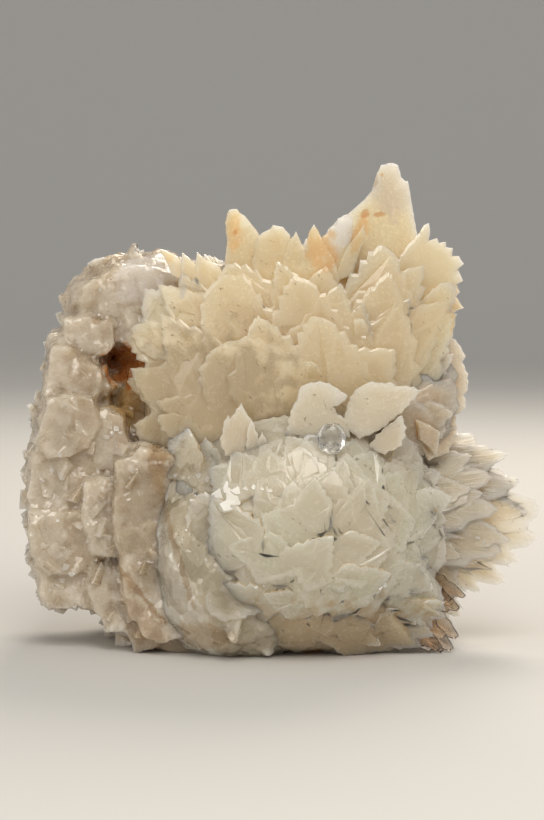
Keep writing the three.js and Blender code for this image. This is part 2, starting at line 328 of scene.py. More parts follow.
def plate(name, blunt, seed, keel, under):
    """A whole plate: a broad toothed layer, a thin pointed one that grew on its face, and
    slim ones along its edges whose tips make larger teeth. The whole is bowed a little."""
    shoulder = 0.44 + wobble(seed, 80, 0.12)
    low = wobble(seed, 83, 0.3)
    broad = layer(46, blunt, 0.07, seed, back=keel, shoulder=shoulder, under=under)
    thin = layer(14, blunt * 0.6, 0.0, seed + 17, 0.10, shoulder=shoulder)
    slim = layer(12, 0, 0.10, seed + 31)
    aside = wobble(seed, 70, 0.16)
    lean = wobble(seed, 76, 5)
    parts = [broad, copy_of(thin, laid(aside, -0.06, 0.06, lean, 0.76, 0.88, 0.4 + low))]
    for side in (-1, 1):
        for step_up in range(3):
            count = step_up + 5 * side
            aside = side * (0.30 - 0.10 * step_up)
            up = 0.02 + 0.20 * step_up + wobble(seed, 40 + count, 0.05)
            out = wobble(seed, 50 + count, 0.07)
            lean = -side * (12 - 4 * step_up + wobble(seed, 60 + count, 5))
            long = 0.44 + wobble(seed, 64 + count, 0.05)
            parts.append(copy_of(slim, laid(aside, up, out, lean, 0.26, long, 0.7)))
    bpy.data.objects.remove(thin)
    bpy.data.objects.remove(slim)
    made = grown_together(name, parts)
    bow = wobble(seed, 81, 0.5)
    for corner in made.data.vertices:
        corner.co.x += bow * corner.co.y * (1 - corner.co.y)
    return made


# Where the plates lie: a dome that bulges towards the viewer. A dome's rim ends where it has
# the third value as the share of its depth left, and its plates follow its curve by the last.
UPPER = {"centre": (4, 4, 58), "radii": (40, 20, 46), "rim_rise": 0.1, "curved": 0.8}


def on_dome(dome, x, z):
    """The depth of a dome at a place on the display face, and the way it faces there."""
    centre, radii = dome["centre"], dome["radii"]
    dx = (x - centre[0]) / radii[0]
    dz = (z - centre[2]) / radii[2]
    rise = numpy.sqrt(numpy.maximum(dome["rim_rise"] ** 2, 1 - dx * dx - dz * dz))
    face = (dx / radii[0], -numpy.maximum(rise, 0.35) / radii[1], dz / radii[2])
    return centre[1] - radii[1] * rise, face


def curved(piece, dome):
    """Bends a placed plate a share of the way to its dome's own curve."""
    mesh = piece.data
    flat = numpy.empty(3 * len(mesh.vertices))
    mesh.vertices.foreach_get("co", flat)
    local = flat.reshape(-1, 3)
    place = numpy.array(piece.matrix_world)
    turn, root = place[:3, :3].T, place[:3, 3]
    on_face = local * (1, 1, 0) @ turn + root
    on_spine = local * (0, 1, 0) @ turn + root
    x, _, z = on_face.T / MM - numpy.array(SHIFT)[:, None]
    ends = numpy.array(((0, 0, 0), (0, 1, 0))) @ turn + root
    end_x, _, end_z = ends.T / MM - numpy.array(SHIFT)[:, None]
    near, far = on_dome(dome, end_x, end_z)[0]
    bend = on_dome(dome, x, z)[0] - near - (far - near) * numpy.clip(local[:, 1], 0, 1)
    bend = bend * MM - (on_face - on_spine)[:, 1]
    world = local @ turn + root
    world[:, 1] += bend * dome["curved"]
    mesh.vertices.foreach_set("co", world.ravel())
    mesh.update()
    piece.matrix_world = Matrix.Identity(4)
    return piece


def plate_place(root, tip, face, width, thick):
    """The place of a plate with its root and tip where they are given, in millimetres."""
    along = tip - root
    across = along.cross(face).normalized()
    up = across.cross(along).normalized()
    place = Matrix((across * width, along, up * thick)).transposed().to_4x4()
    place.translation = root + SHIFT
    return Matrix.Scale(MM, 4) @ place


def shingles(
    masters, dome, rows, first, daughters=(2, 2, 2, 2), step=ROW_STEP, sink=ROOT_SINK,
    flat=PLATE_THICK, lift=0.30, kinds=("rim", "deep"),
):
    """Plates laid on a dome in rows, each given by its tip, its root and its width. Each
    carries smaller ones that lie a little out of it and point a little to its side."""
    made = []
    inward = math.copysign(1, dome["radii"][1])
    for level, row in enumerate(rows):
        for i, (tip_x, tip_z, root_x, root_z, width, *more) in enumerate(row):
            more = more[0] if more else {}
            seed = first + level * 40 + i
            out = level * step
            tip_y, _ = on_dome(dome, tip_x, tip_z)
            root_y, _ = on_dome(dome, root_x, root_z)
            face = on_dome(dome, (tip_x + root_x) / 2, (tip_z + root_z) / 2)[1]
            tip = Vector((tip_x, tip_y - out * inward + wobble(seed, 3, 0.25), tip_z))
            root = Vector((root_x, root_y - (out - sink) * inward, root_z))
            face = Vector(face).normalized()
            face += Vector((wobble(seed, 1, 0.05), 0, wobble(seed, 2, 0.05)))
            thick = more.get("thick", flat)
            blunt = more.get("blunt", 0)
            kind = kinds[min(level, 1)] + (" broad" if blunt > 0.3 else " blunt" if blunt else "")
            crowd = masters[kind]
            master = crowd[seed % len(crowd)]
            tone = 0.5 + wobble(seed, 5, 0.5)
            place = plate_place(root, tip, face, width * SPREAD, thick)
            made.append(curved(copy_of(master, place, tone), dome))
            across = (tip - root).cross(face).normalized()
            for d in range(0 if more.get("alone") else daughters[level]):
                side = (-1) ** d
                start = root.lerp(tip, 0.30 + 0.12 * d + wobble(seed, 10 + d, 0.1))
                start += across * side * width * (0.16 + wobble(seed, 14 + d, 0.07))
                end = start + (tip - root) * (0.50 + wobble(seed, 20 + d, 0.10))
                end += across * side * width * (0.16 + wobble(seed, 24 + d, 0.12))
                raised = face.normalized() * (lift + wobble(seed, 30 + d, 0.2))
                crowd = masters[kinds[0]]
                master = crowd[(seed + d + 1) % len(crowd)]
                place = plate_place(
                    start + raised * 0.2, end + raised, face, width * 0.62, thick * 0.8
                )
                tone = 0.5 + wobble(seed, 6 + d, 0.5)
                made.append(curved(copy_of(master, place, tone), dome))
    return made


def strewn(masters, dome, hub, count, long, seed, raised, share, slender):
    """Small plates strewn evenly over a share of a dome, which point away from the hub. Their
    length and how much their tips are raised are in millimetres."""
    made = []
    centre, radii = dome["centre"], dome["radii"]
    for i in range(count):
        turn = i * GOLDEN_ANGLE + seed
        reach = share * math.sqrt((i + 0.5 + wobble(seed, i + 500, 0.5)) / count)
        x = centre[0] + radii[0] * reach * math.cos(turn)
        z = centre[2] + radii[2] * reach * math.sin(turn)
        y, face = on_dome(dome, x, z)
        face = Vector(face).normalized()
        heading = math.atan2(z - hub[1], x - hub[0]) + wobble(seed, i, 0.5)
        size = long * (1 + wobble(seed + 1, i, 0.4))
        along = Vector((math.cos(heading), 0, math.sin(heading))) * size
        along -= face * along.dot(face)
        face = face + Vector((wobble(seed + 2, i, 0.06), 0, wobble(seed + 3, i, 0.06)))
        root = Vector((x, y, z)) - along * 0.5 - face * 0.9
        tip = Vector((x, y, z)) + along * 0.5 + face * (raised + wobble(seed + 4, i, 0.3))
        crowd = masters["deep"]
        place = plate_place(root, tip, face, size * slender * (1 + wobble(seed + 6, i, 0.3)), 1.0)
        tone = 0.5 + wobble(seed + 5, i, 0.5)
        made.append(curved(copy_of(crowd[i % len(crowd)], place, tone), dome))
    return made


def seen(column, row, depth):
    """The place on the display face that the photo's pixel shows, for a thing at a depth."""
    eye = camera.location / MM - SHIFT
    across = (column - PHOTO_WIDE / 2) * MM_A_PIXEL
    up = (PHOTO_TALL / 2 - row) * MM_A_PIXEL
    lifted = Vector((across, up * math.sin(CAMERA_RAISED), up * math.cos(CAMERA_RAISED)))
    far = aim / MM - SHIFT + lifted
    point = eye.lerp(far, (depth - eye.y) / (far.y - eye.y))
    return point.x, point.z


def seen_on(dome, column, row):
    """The place on a dome that the photo's pixel shows."""
    depth = dome["centre"][1]
    for _ in range(4):
        x, z = seen(column, row, depth)
        depth = float(on_dome(dome, x, z)[0])
    return Vector((x, depth, z))


TOOTH_PIXELS = 4.5  # from the tip of a tooth to the notch beside it
DRAWN_WIDE = 10  # the width that a drawn plate's own units are scaled by
DRAWN_SINK = 2.0
DRAWN_THICK = 1.2


def drawn(dome, outline, root, tip, out, tone, bite):
    """A flat plate whose outline, root and tip are given in the photo's pixels. It stands out
    of the dome at its tip, by a height in millimetres. The bite is the depth of its teeth in
    pixels. At 1 or below, the outline's own corners stay where they are."""
    base = seen_on(dome, *root)
    end = seen_on(dome, *tip)
    face = Vector(on_dome(dome, (base.x + end.x) / 2, (base.z + end.z) / 2)[1]).normalized()
    base.y += DRAWN_SINK - out
    end.y -= out
    place = plate_place(base, end, face, DRAWN_WIDE, DRAWN_THICK)
    to_plane = Matrix(((place[0][0], place[0][1]), (place[2][0], place[2][1]))).inverted()
    corners = []
    for i, (here, there) in enumerate(zip(outline, outline[1:] + outline[:1])):
        here = Vector(here)
        side = Vector(there) - here
        count = max(1, round(side.length / TOOTH_PIXELS))
        for k in range(count):
            point = here + side * ((k + wobble(i + 3, k, 0.25)) / count) if k else here
            if k or bite > 1:
                swing = (-1) ** len(corners) * (0.5 + wobble(i, k, 0.6))
                point = point + side.orthogonal().normalized() * bite * swing
            depth = base.y
            for _ in range(3):
                x, z = seen(*point, depth)
                goal = Vector((x + SHIFT.x, z)) * MM - Vector((place[0][3], place[2][3]))
                flat = to_plane @ goal
                depth = (place @ Vector((*flat, 0))).y / MM - SHIFT.y
            corners.append(Vector((*flat, 0)))
    made = start_with(
        bpy.ops.mesh.primitive_circle_add, vertices=len(corners), radius=1, fill_type="NGON"
    )
    for vertex, corner in zip(made.data.vertices, corners):
        vertex.co = corner
    middle = sum(corners, Vector()) / len(corners)
    bpy.ops.object.mode_set(mode="EDIT")
    bpy.ops.mesh.select_all(action="SELECT")
    bpy.ops.mesh.normals_make_consistent(inside=False)
    raise_faces(0.22, 0.95, 0.95, middle)
    pick(made, "faces", lambda c: abs(c.z) < 1e-6)
    raise_faces(-2.5, 0.85, 0.85, middle)
    bpy.ops.mesh.select_all(action="SELECT")
    bpy.ops.mesh.normals_make_consistent(inside=False)
    bpy.ops.object.mode_set(mode="OBJECT")
    mapped(made)
    widest = max(abs(corner.x) for corner in corners)
    for corner in made.data.uv_layers.active.data:
        corner.uv = (corner.uv[0] / widest * 0.5, corner.uv[1])
    placed = copy_of(made, place, tone)
    bpy.data.objects.remove(made)
    return placed


FLASHING = Vector((0.063, -0.90, 0.43)).normalized()  # a face that faces so mirrors the lamp
FLASH_SIDES = 5


def flashes(piece, spots):
    """Adds small cleavage faces to a piece, which flash in the light, and marks them so that the
    material makes them glossier and whitens them with a painted highlight. Each is the end of
    a small block, given by a pixel of the photo and a size in millimetres."""
    skin = BVHTree.FromPolygons(
        [corner.co for corner in piece.data.vertices],
        [face.vertices for face in piece.data.polygons],
    )
    made = []
    for i, (column, row, size) in enumerate(spots):
        x, z = seen(column, row, 0)
        through = (Vector((x, 0, z)) + SHIFT) * MM - camera.location
        hit = skin.ray_cast(camera.location, through)[0]
        if hit is None:
            continue
        block = start_with(
            bpy.ops.mesh.primitive_cylinder_add, vertices=FLASH_SIDES, radius=0.6, depth=1
        )
        bpy.ops.object.mode_set(mode="EDIT")
        for k in range(FLASH_SIDES):
            turn = k * 2 * math.pi / FLASH_SIDES
            edge = Vector((math.sin(turn), math.cos(turn)))
            stretch = 1 + wobble(i, 930 + k, 0.45)
            pick(block, "corners", lambda c: c.xy.angle(edge) < 0.1)
            bpy.ops.transform.resize(value=(stretch, stretch, 1), center_override=(0, 0, 0))
        bpy.ops.object.mode_set(mode="OBJECT")
        facing = FLASHING + Vector((wobble(i, 920, 0.05), 0, wobble(i, 921, 0.05)))
        axes = facing.to_track_quat("Z", "Y").to_matrix() @ Matrix.Rotation(i * 1.3, 3, "Z")
        axes = axes @ Matrix.Diagonal((size, size * 0.75, size * 0.6))
        place = axes.to_4x4()
        place.translation = hit / MM - FLASHING * (size * 0.3 - 0.2)
        placed = copy_of(block, Matrix.Scale(MM, 4) @ place, 0.9)
        flash_face = placed.data.attributes.new("flash_face", "FLOAT", "FACE")
        flash_face.data.foreach_set("value", [1.0] * len(placed.data.polygons))
        bpy.data.objects.remove(block)
        made.append(placed)
    return grown_together(piece.name, [piece, *made])


def heart(centre, radii, fullness=2):
    """The solid egg under a rosette's plates. Above 2, it is fuller than an egg."""
    made = start_with(bpy.ops.mesh.primitive_ico_sphere_add, subdivisions=4, radius=1)
    for corner in made.data.vertices:
        corner.co /= sum(abs(part) ** fullness for part in corner.co) ** (1 / fullness)
    made.matrix_world = (
        Matrix.Scale(MM, 4)
        @ Matrix.Translation(Vector(centre) + SHIFT)
        @ Matrix.Diagonal((*radii, 1))
    )
    return made


masters = {}
for kind, keel, under, seed in (("rim", -1.5, 0.6, 11), ("deep", -3.8, 0.9, 311)):
    for shape, blunt, count in (("", 0.04, 5), (" blunt", 0.2, 2), (" broad", 0.4, 2)):
        masters[kind + shape] = [
            plate(f"{kind} plate", blunt, seed + 10 * i + int(200 * blunt), keel, under)
            for i in range(count)
        ]
upper_rows = [
    [
        (-27.5, 75, -16, 62, 12),
        (-19.5, 78.5, -10, 64, 12),
    ],
    [
        (-24.5, 76, -4, 54, 13),
        (-30.5, 65, -10, 56, 15, {"blunt": 0.25}),
        (-10, 80.5, 0, 56, 16, {"blunt": 0.2}),
        (0, 81, 5, 56, 13),
        (10, 80, 9, 55, 15),
        (22, 84, 13, 54, 17, {"blunt": 0.2}),
        (30, 80, 15, 53, 17),
        (37, 70, 18, 51, 14),
    ],
    [
        (-31.2, 56, -4, 47, 16),
        (-24, 70, -4, 50, 14),
        (-11.5, 78, 1, 52, 16, {"blunt": 0.34}),
        (4, 78, 5, 48, 17, {"blunt": 0.2}),
        (13, 76.5, 11, 50, 14),
        (23, 79, 12, 48, 17),
        (35.5, 72.5, 14, 50, 15),
    ],
    [
        (-25, 52, -2, 42, 11),
        (-12.5, 63.5, 3, 42, 19, {"blunt": 0.4}),
        (-4, 70, 5, 46, 15),
        (8, 70, 8, 44, 17, {"blunt": 0.3}),
        (24, 63, 10, 44, 17),
    ],
]
# The plates that can be told apart: outline, root, tip, height, tone and bite
upper_plates = [
    # The tall plate on the right, the highest of all
    (
        [
            (330, 300), (326, 262), (322, 240), (331, 227), (341, 217), (348, 214), (356, 207),
            (364, 200), (373, 189), (378, 183), (377, 173), (381, 165), (393, 163), (398, 165),
            (401, 177), (405, 181), (408, 181), (410, 192), (413, 211), (416, 229), (421, 255),
            (418, 290), (395, 330), (350, 330),
        ],
        (372, 330), (393, 163), 0.0, 0.9, 0.6,
    ),
    # The right wing, whose edge is finely toothed
    (
        [
            (392, 345), (380, 310), (390, 270), (408, 245), (420, 233), (424, 225), (429, 223),
            (430, 229), (428, 241), (437, 238), (439, 243), (446, 242), (446, 247), (453, 248),
            (452, 256), (459, 256), (464, 264), (458, 269), (463, 281), (457, 284), (460, 292),
            (456, 296), (464, 308), (455, 312), (449, 322), (447, 333), (430, 350),
        ],
        (380, 345), (460, 280), 0.4, 0.6, 0.6,
    ),
    # The ear on the left, the blunt top beside it and its pointed neighbour
    (
        [
            (228, 300), (225, 262), (227, 240), (225, 223), (229, 210), (237, 209), (240, 213),
            (245, 216), (249, 221), (257, 231), (262, 240), (266, 262), (262, 290), (250, 310),
        ],
        (252, 320), (232, 209), 0.0, 0.7, 0.6,
    ),
    (
        [
            (255, 300), (252, 265), (256, 240), (262, 233), (268, 230), (273, 225), (283, 227),
            (290, 235), (293, 262), (288, 300), (272, 310),
        ],
        (272, 320), (278, 226), 0.2, 0.4, 1.0,
    ),
    (
        [
            (282, 300), (282, 262), (288, 243), (296, 231), (300, 240), (307, 252), (306, 280),
            (298, 305),
        ],
        (294, 315), (296, 231), 0.5, 0.8, 0.8,
    ),
    # The white stepped plate and the orange one in front of the tall plate
    (
        [
            (316, 270), (320, 244), (323, 236), (328, 233), (330, 227), (336, 225), (338, 218),
            (346, 217), (349, 213), (353, 222), (351, 245), (346, 270), (332, 285),
        ],
        (332, 290), (345, 216), 0.7, 0.2, 0.5,
    ),
    (
        [
            (334, 282), (340, 262), (348, 246), (357, 235), (364, 225), (366, 235), (360, 252),
            (352, 275),
        ],
        (342, 292), (364, 226), 1.1, 0.6, 0.5,
    ),
    # The orange tip in the middle
    (
        [
            (298, 300), (303, 275), (306, 255), (307, 240), (311, 229), (314, 224), (320, 235),
            (326, 246), (334, 258), (340, 280), (330, 305),
        ],
        (318, 320), (314, 224), 0.9, 0.5, 0.8,
    ),
    # The small tips along the upper left
    (
        [(172, 275), (160, 249), (168, 252), (178, 257), (186, 268), (192, 285)],
        (195, 295), (161, 249), 0.2, 0.3, 0.4,
    ),
    (
        [(184, 285), (181, 265), (182, 252), (190, 259), (200, 270), (206, 290)],
        (205, 300), (182, 252), 0.4, 0.7, 0.4,
    ),
    (
        [(200, 290), (195, 268), (197, 252), (206, 260), (218, 264), (228, 285), (215, 300)],
        (222, 305), (197, 252), 0.5, 0.5, 0.4,
    ),
    # The dull ones on the lower left
    (
        [
            (215, 378), (180, 362), (150, 358), (137, 348), (130, 336), (133, 325), (150, 320),
            (168, 325), (182, 336), (196, 350), (222, 362),
        ],
        (238, 378), (131, 332), 1.4, 0.1, 1.6,
    ),
    (
        [
            (225, 418), (215, 431), (190, 428), (170, 424), (152, 409), (142, 396), (134, 382),
            (130, 369), (145, 367), (165, 373), (205, 377), (222, 390), (236, 403), (243, 412),
        ],
        (240, 415), (130, 371), 1.8, 0.35, 1.6,
    ),
    (
        [
            (240, 436), (225, 446), (200, 447), (176, 441), (160, 430), (158, 415), (172, 412),
            (190, 418), (215, 420), (238, 424),
        ],
        (242, 432), (160, 422), 1.6, 0.2, 1.6,
    ),
    (
        [
            (176, 436), (168, 449), (156, 452), (145, 446), (138, 436), (133, 425), (143, 419),
            (152, 412), (164, 409), (176, 416),
        ],
        (178, 440), (134, 424), 1.0, 0.3, 1.5,
    ),
    # Two small ones that fill gaps
    (
        [(353, 322), (359, 318), (366, 322), (368, 332), (363, 341), (354, 337)],
        (360, 342), (359, 318), 1.4, 0.5, 1.3,
    ),
    (
        [(305, 364), (312, 361), (319, 368), (324, 380), (317, 386), (309, 379)],
        (315, 388), (311, 361), 1.2, 0.4, 1.3,
    ),
    # The long front plate on the right, with a bright upper edge
    (
        [
            (360, 350), (367, 337), (376, 330), (388, 326), (400, 316), (412, 307), (425, 296),
            (440, 284), (452, 282), (458, 291), (455, 303), (448, 316), (440, 328), (428, 341),
            (410, 354), (385, 366), (366, 362),
        ],
        (372, 358), (452, 284), 1.5, 0.55, 1.6,
    ),
]
upper = grown_together("upper_rosette", [
    heart((1, 4, 50), (29, 19.0, 26.5), 3),
    *shingles(masters, UPPER, upper_rows, 100, (1, 1, 1, 0), step=0.4, flat=1.3, lift=0.12),
    *(drawn(UPPER, *plate) for plate in upper_plates),
])
upper = flashes(upper, [(364, 337, 1.0), (290, 253, 0.6), (147, 312, 0.7)])


def oval(place, ragged, x, z, wide, tall, lean):
    """1 inside a ragged oval on the display face, which may lean to the right."""
    near = place.node(
        "ShaderNodeMapping", {"vector_type": "TEXTURE"}, Vector=place,
        Location=(x, 0, z), Rotation=(0, math.radians(lean), 0), Scale=(wide, 1000, tall),
    )
    reach = near.node("ShaderNodeVectorMath", {"operation": "LENGTH"}, "Value", _0=near)
    return (reach + ragged * 1.6 - 0.8).to(1.0, 0.5)


# Painted warm bounce light for the keels, which show in the gaps between plates
KEEL_BOUNCE_LIGHT = (0.62, 0.44, 0.24, 1)
DIRT = (0.20, 0.13, 0.07, 1)
# Painted highlight: the near white that the faces that flash are whitened towards
FLASH_HIGHLIGHT = (0.88, 0.87, 0.84, 1)


def calcite(
    name, deep, pale, veil, stains=(), rough=0.2, depth=14.0, lines=0.03, steps=0.06, grains=0,
):
    """Milky calcite. Its colour drifts between two, each crystal differs a little, white veils
    hang in it and dirt sits on a few hair-fine seams. It also carries painted light: a painted
    glow on the rims and tips of plates, painted warm bounce light on their keels, and a painted
    highlight that whitens the faces that flash. Its face carries growth lines along each
    plate and steps across it, or the slanted facets of grains, all heights in millimetres.
    A stain is an oval's x, z, half width, half height and lean, its strength and its colour,
    and perhaps the depths where it starts, is full, is still full and ends."""
    made, shader, v = material(
        name, IOR=1.66, Subsurface_Weight=1.0, Subsurface_Scale=depth * MM,
        Subsurface_Radius=(1.0, 0.98, 0.92),
    )
    place = v.node(
        "ShaderNodeMapping", Vector=v.node("ShaderNodeTexCoord", out=3),
        Location=-SHIFT, Scale=(1 / MM,) * 3,
    )
    tone = v.node("ShaderNodeAttribute", {"attribute_name": "tone"}, out=2)
    drift = v.node("ShaderNodeTexNoise", Vector=place, Scale=0.06, Detail=3.0)
    ragged = v.node("ShaderNodeTexNoise", Vector=place, Scale=0.35, Detail=4.0)
    fine = v.node("ShaderNodeTexNoise", Vector=place, Scale=1.3, Detail=3.0)
    grown = v.node("ShaderNodeTexCoord", out=2)
    across = v.node("ShaderNodeSeparateXYZ", Vector=grown)
    aside = across.maths("ABSOLUTE", across)
    along = v.node("ShaderNodeSeparateXYZ", out=1, Vector=grown)
    rim = (aside + along * 0.9 - 0.40).to(0.30, 0.52)
    seam = v.node(
        "ShaderNodeTexVoronoi", {"feature": "DISTANCE_TO_EDGE"},
        Vector=place + (ragged * 2), Scale=0.13,
    )
    dashes = seam.to(0.010, 0.004) * fine.to(0.56, 0.60) * drift.to(0.45, 0.52)
    colour = (drift.to(0.35, 0.65) * 0.6 + tone * 0.4).between(deep, pale)
    colour = (ragged.to(0.50, 0.75) * 0.22).between(colour, veil)
    # Painted glow: the rims and tips of plates are made lighter, for the light that their thin
    # edges let through
    colour = (rim * 0.4).between(colour, veil)
    # Painted bounce light: the keels, seen in the gaps between plates, are tinted warm
    keel = v.node("ShaderNodeAttribute", {"attribute_name": "keel"}, out=2)
    colour = (keel * 0.5).between(colour, KEEL_BOUNCE_LIGHT)
    colour = (dashes * 0.6).between(colour, DIRT)
    # The faces that flash are glossier, and whitened as a painted highlight
    flash_face = v.node("ShaderNodeAttribute", {"attribute_name": "flash_face"}, out=2)
    colour = (flash_face * 0.4).between(colour, FLASH_HIGHLIGHT)
    for x, z, wide, tall, lean, share, tint, *depths in stains:
        stain = oval(place, ragged, x, z, wide, tall, lean) * share
        if depths:
            start, full, still, end = depths
            y = place.node("ShaderNodeSeparateXYZ", out=1, Vector=place)
            stain = stain * (y.to(start, full) * y.to(end, still))
        colour = stain.between(colour, tint)
    worn = (fine.to(0.35, 0.75) * 0.22 + tone * 0.08 + (rough - 0.12)) * (1 - flash_face * 0.7)
    chevron = (along + aside * 0.8) * 8 + ragged * 3
    step = chevron.maths("FRACT", chevron)
    line = v.node(
        "ShaderNodeTexNoise", Scale=1.0, Detail=2.0,
        Vector=v.node("ShaderNodeMapping", Vector=grown, Scale=(34, 2.2, 1)),
    )
    height = step * drift.to(0.4, 0.6) * steps + line * lines + fine * 0.015 - dashes * 0.1
    for size, share in ((3.5, 1.0), (1.2, 0.5)) if grains else ():
        grain = {"Vector": place, "Scale": 1 / size}
        off = v.node("ShaderNodeTexVoronoi", out="Position", **grain)
        off = v.node("ShaderNodeVectorMath", {"operation": "SUBTRACT"}, _0=place, _1=off)
        slope = v.node("ShaderNodeTexVoronoi", out="Color", **grain)
        slope = v.node(
            "ShaderNodeVectorMath", {"operation": "SUBTRACT"}, _0=slope, _1=(0.5, 0.5, 0.5)
        )
        tilt = v.node(
            "ShaderNodeVectorMath", {"operation": "DOT_PRODUCT"}, "Value", _0=slope, _1=off
        )
        height = height + tilt * (grains * share)
    v.tree.links.new(colour.socket, shader.inputs["Base Color"])
    v.tree.links.new(worn.socket, shader.inputs["Roughness"])
    bump = v.node("ShaderNodeBump", Height=height, Distance=MM)
    v.tree.links.new(bump.socket, shader.inputs["Normal"])
    return made


def cut_away(piece, tool):
    """Cuts a solid out of a piece, and then removes that solid."""
    bpy.ops.object.select_all(action="DESELECT")
    piece.select_set(True)
    bpy.context.view_layer.objects.active = piece
    cut = piece.modifiers.new("cut", "BOOLEAN")
    cut.operation = "DIFFERENCE"
    cut.solver = "MANIFOLD"
    cut.object = tool
    bpy.ops.object.modifier_apply(modifier="cut")
    bpy.data.objects.remove(tool)


def cut_at_foot(piece):
    """Cuts off flat what reaches below the level where the specimen stands."""
    cut_away(piece, start_with(bpy.ops.mesh.primitive_cube_add, size=0.2, location=(0, 0, -0.1)))


def wears(piece, made):
    """Gives a piece its finished material and its place in the frame."""
    piece.data.materials.clear()
    piece.data.materials.append(made)
    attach(piece, "root")
    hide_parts("calcite_cluster")


HONEY = (0.70, 0.39, 0.15, 1)
RUST = (0.50, 0.24, 0.07, 1)
DULL = (0.40, 0.31, 0.19, 1)
upper_stains = [
    (-16, 54, 24, 16, 0, 0.6, DULL),
    (12.5, 87, 4, 5, 20, 0.7, (0.80, 0.76, 0.70, 1)),  # the white plate
    (23.5, 96, 7, 8, 0, 0.8, (0.55, 0.47, 0.37, 1)),  # the end of the tall one
    (-2, 84, 18, 6, 0, 0.45, (0.52, 0.41, 0.25, 1)),
    (-9.4, 89, 3, 6, 0, 0.6, HONEY),
    (8.8, 84, 4, 6, 0, 0.6, HONEY),
    (-24, 83, 3, 4, 0, 0.6, HONEY),
    (17, 86, 2, 5, 25, 0.6, HONEY),
    (38, 69, 3, 8, 0, 0.6, HONEY),
    (-19.3, 74.8, 0.9, 1.9, 15, 0.6, (0.45, 0.43, 0.38, 1)),  # a grey grain
    (18.3, 90.6, 1.1, 1.1, 0, 0.6, RUST),
    (21.3, 90.4, 1.7, 0.8, 0, 0.6, RUST),
    (21.8, 98.6, 0.6, 0.7, 0, 0.6, RUST),
    (-8.6, 86.8, 0.6, 0.8, 0, 0.6, RUST),
]
cut_at_foot(upper)
wears(upper, calcite(
    "cream calcite", (0.61, 0.485, 0.305, 1), (0.70, 0.58, 0.38, 1), (0.74, 0.65, 0.48, 1),
    upper_stains, depth=11.0,
))

# The rear of the upper rosette: five long plates of the same cream calcite. They grew on the
# far side of its heart and lean back, so that the rosette is a fan from behind as well.
UPPER_REAR = {"centre": (6, 4, 56), "radii": (36, -14, 40), "rim_rise": 0, "curved": 0}
rear_rows = [
    [
        (-18, 79, -4, 60, 14),
        (-3, 84, 2, 60, 15),
        (15, 90, 10, 60, 16),
        (29, 86, 16, 58, 15),
        (37, 75, 20, 56, 14),
    ],
]
rear = grown_together("rear_plates", shingles(masters, UPPER_REAR, rear_rows, 280))
cut_at_foot(rear)
wears(rear, calcite(
    "rear calcite", (0.68, 0.53, 0.34, 1), (0.76, 0.64, 0.46, 1), (0.82, 0.76, 0.64, 1),
    rough=0.35,
))

# The lower rosette is the dome nearest to the viewer, of paler and greyer calcite than the
# upper one. Its flat plates spread all round from the middle and hug the dome, and small ones
# are strewn between them. A patch of fresh cleavage glitters at its upper left, its faces
# whitened by a painted highlight.
LOWER = {"centre": (5, -2, 26), "radii": (31, 30, 28), "rim_rise": 0.4, "curved": 1.0}
lower_rows = [
    [
        (16, 48, 12, 35, 14),
        (29, 43.5, 17, 35, 14),
        (34.5, 33, 18, 31, 14),
        (34.4, 24.6, 17, 29, 13),
        (31, 17.5, 15, 26, 13),
        (34.5, 9.5, 14, 20, 14),
        (32, 5.5, 12, 16, 13),
        (29.5, 1.5, 11, 13, 13),
        (19, 0.3, 9, 14, 17),
        (4, 0.3, 6, 16, 17),
        (-9, 0.5, 0, 16, 16),
        (0, 46, 4, 35, 13),
    ],
    [
        (-2, 10, 4, 25, 16),
        (8, 10, 9, 26, 15),
        (19, 9, 13, 26, 15),
        (28, 15, 14, 27, 14),
        (32, 28, 15, 30, 14),
        (26, 40, 14, 31, 14),
        (-4, 38, 6, 29, 13),
        (-13, 24, 4, 27, 15),
    ],
    [
        (-4, 17, 4, 29, 13),
        (6, 15.5, 8, 29, 13),
        (17, 16, 12, 29, 14),
        (23, 24, 13, 30, 13),
        (23, 34, 12, 30, 12),
        (-3, 31, 6, 24, 11),
        (3, 38, 6, 26, 9),
        (11.5, 40, 10, 27, 10),
        (18.5, 38, 13, 27, 9),
    ],
    [
        (-9, 43, -6, 34, 9),
        (-2, 44, 0, 35, 9),
        (5, 44.5, 5, 35, 10),
        (14, 43, 12, 34, 9),
        (20, 43, 17, 34, 8),
        (26.5, 42, 22, 33, 9),
        (30, 38, 23, 30, 9),
    ],
]
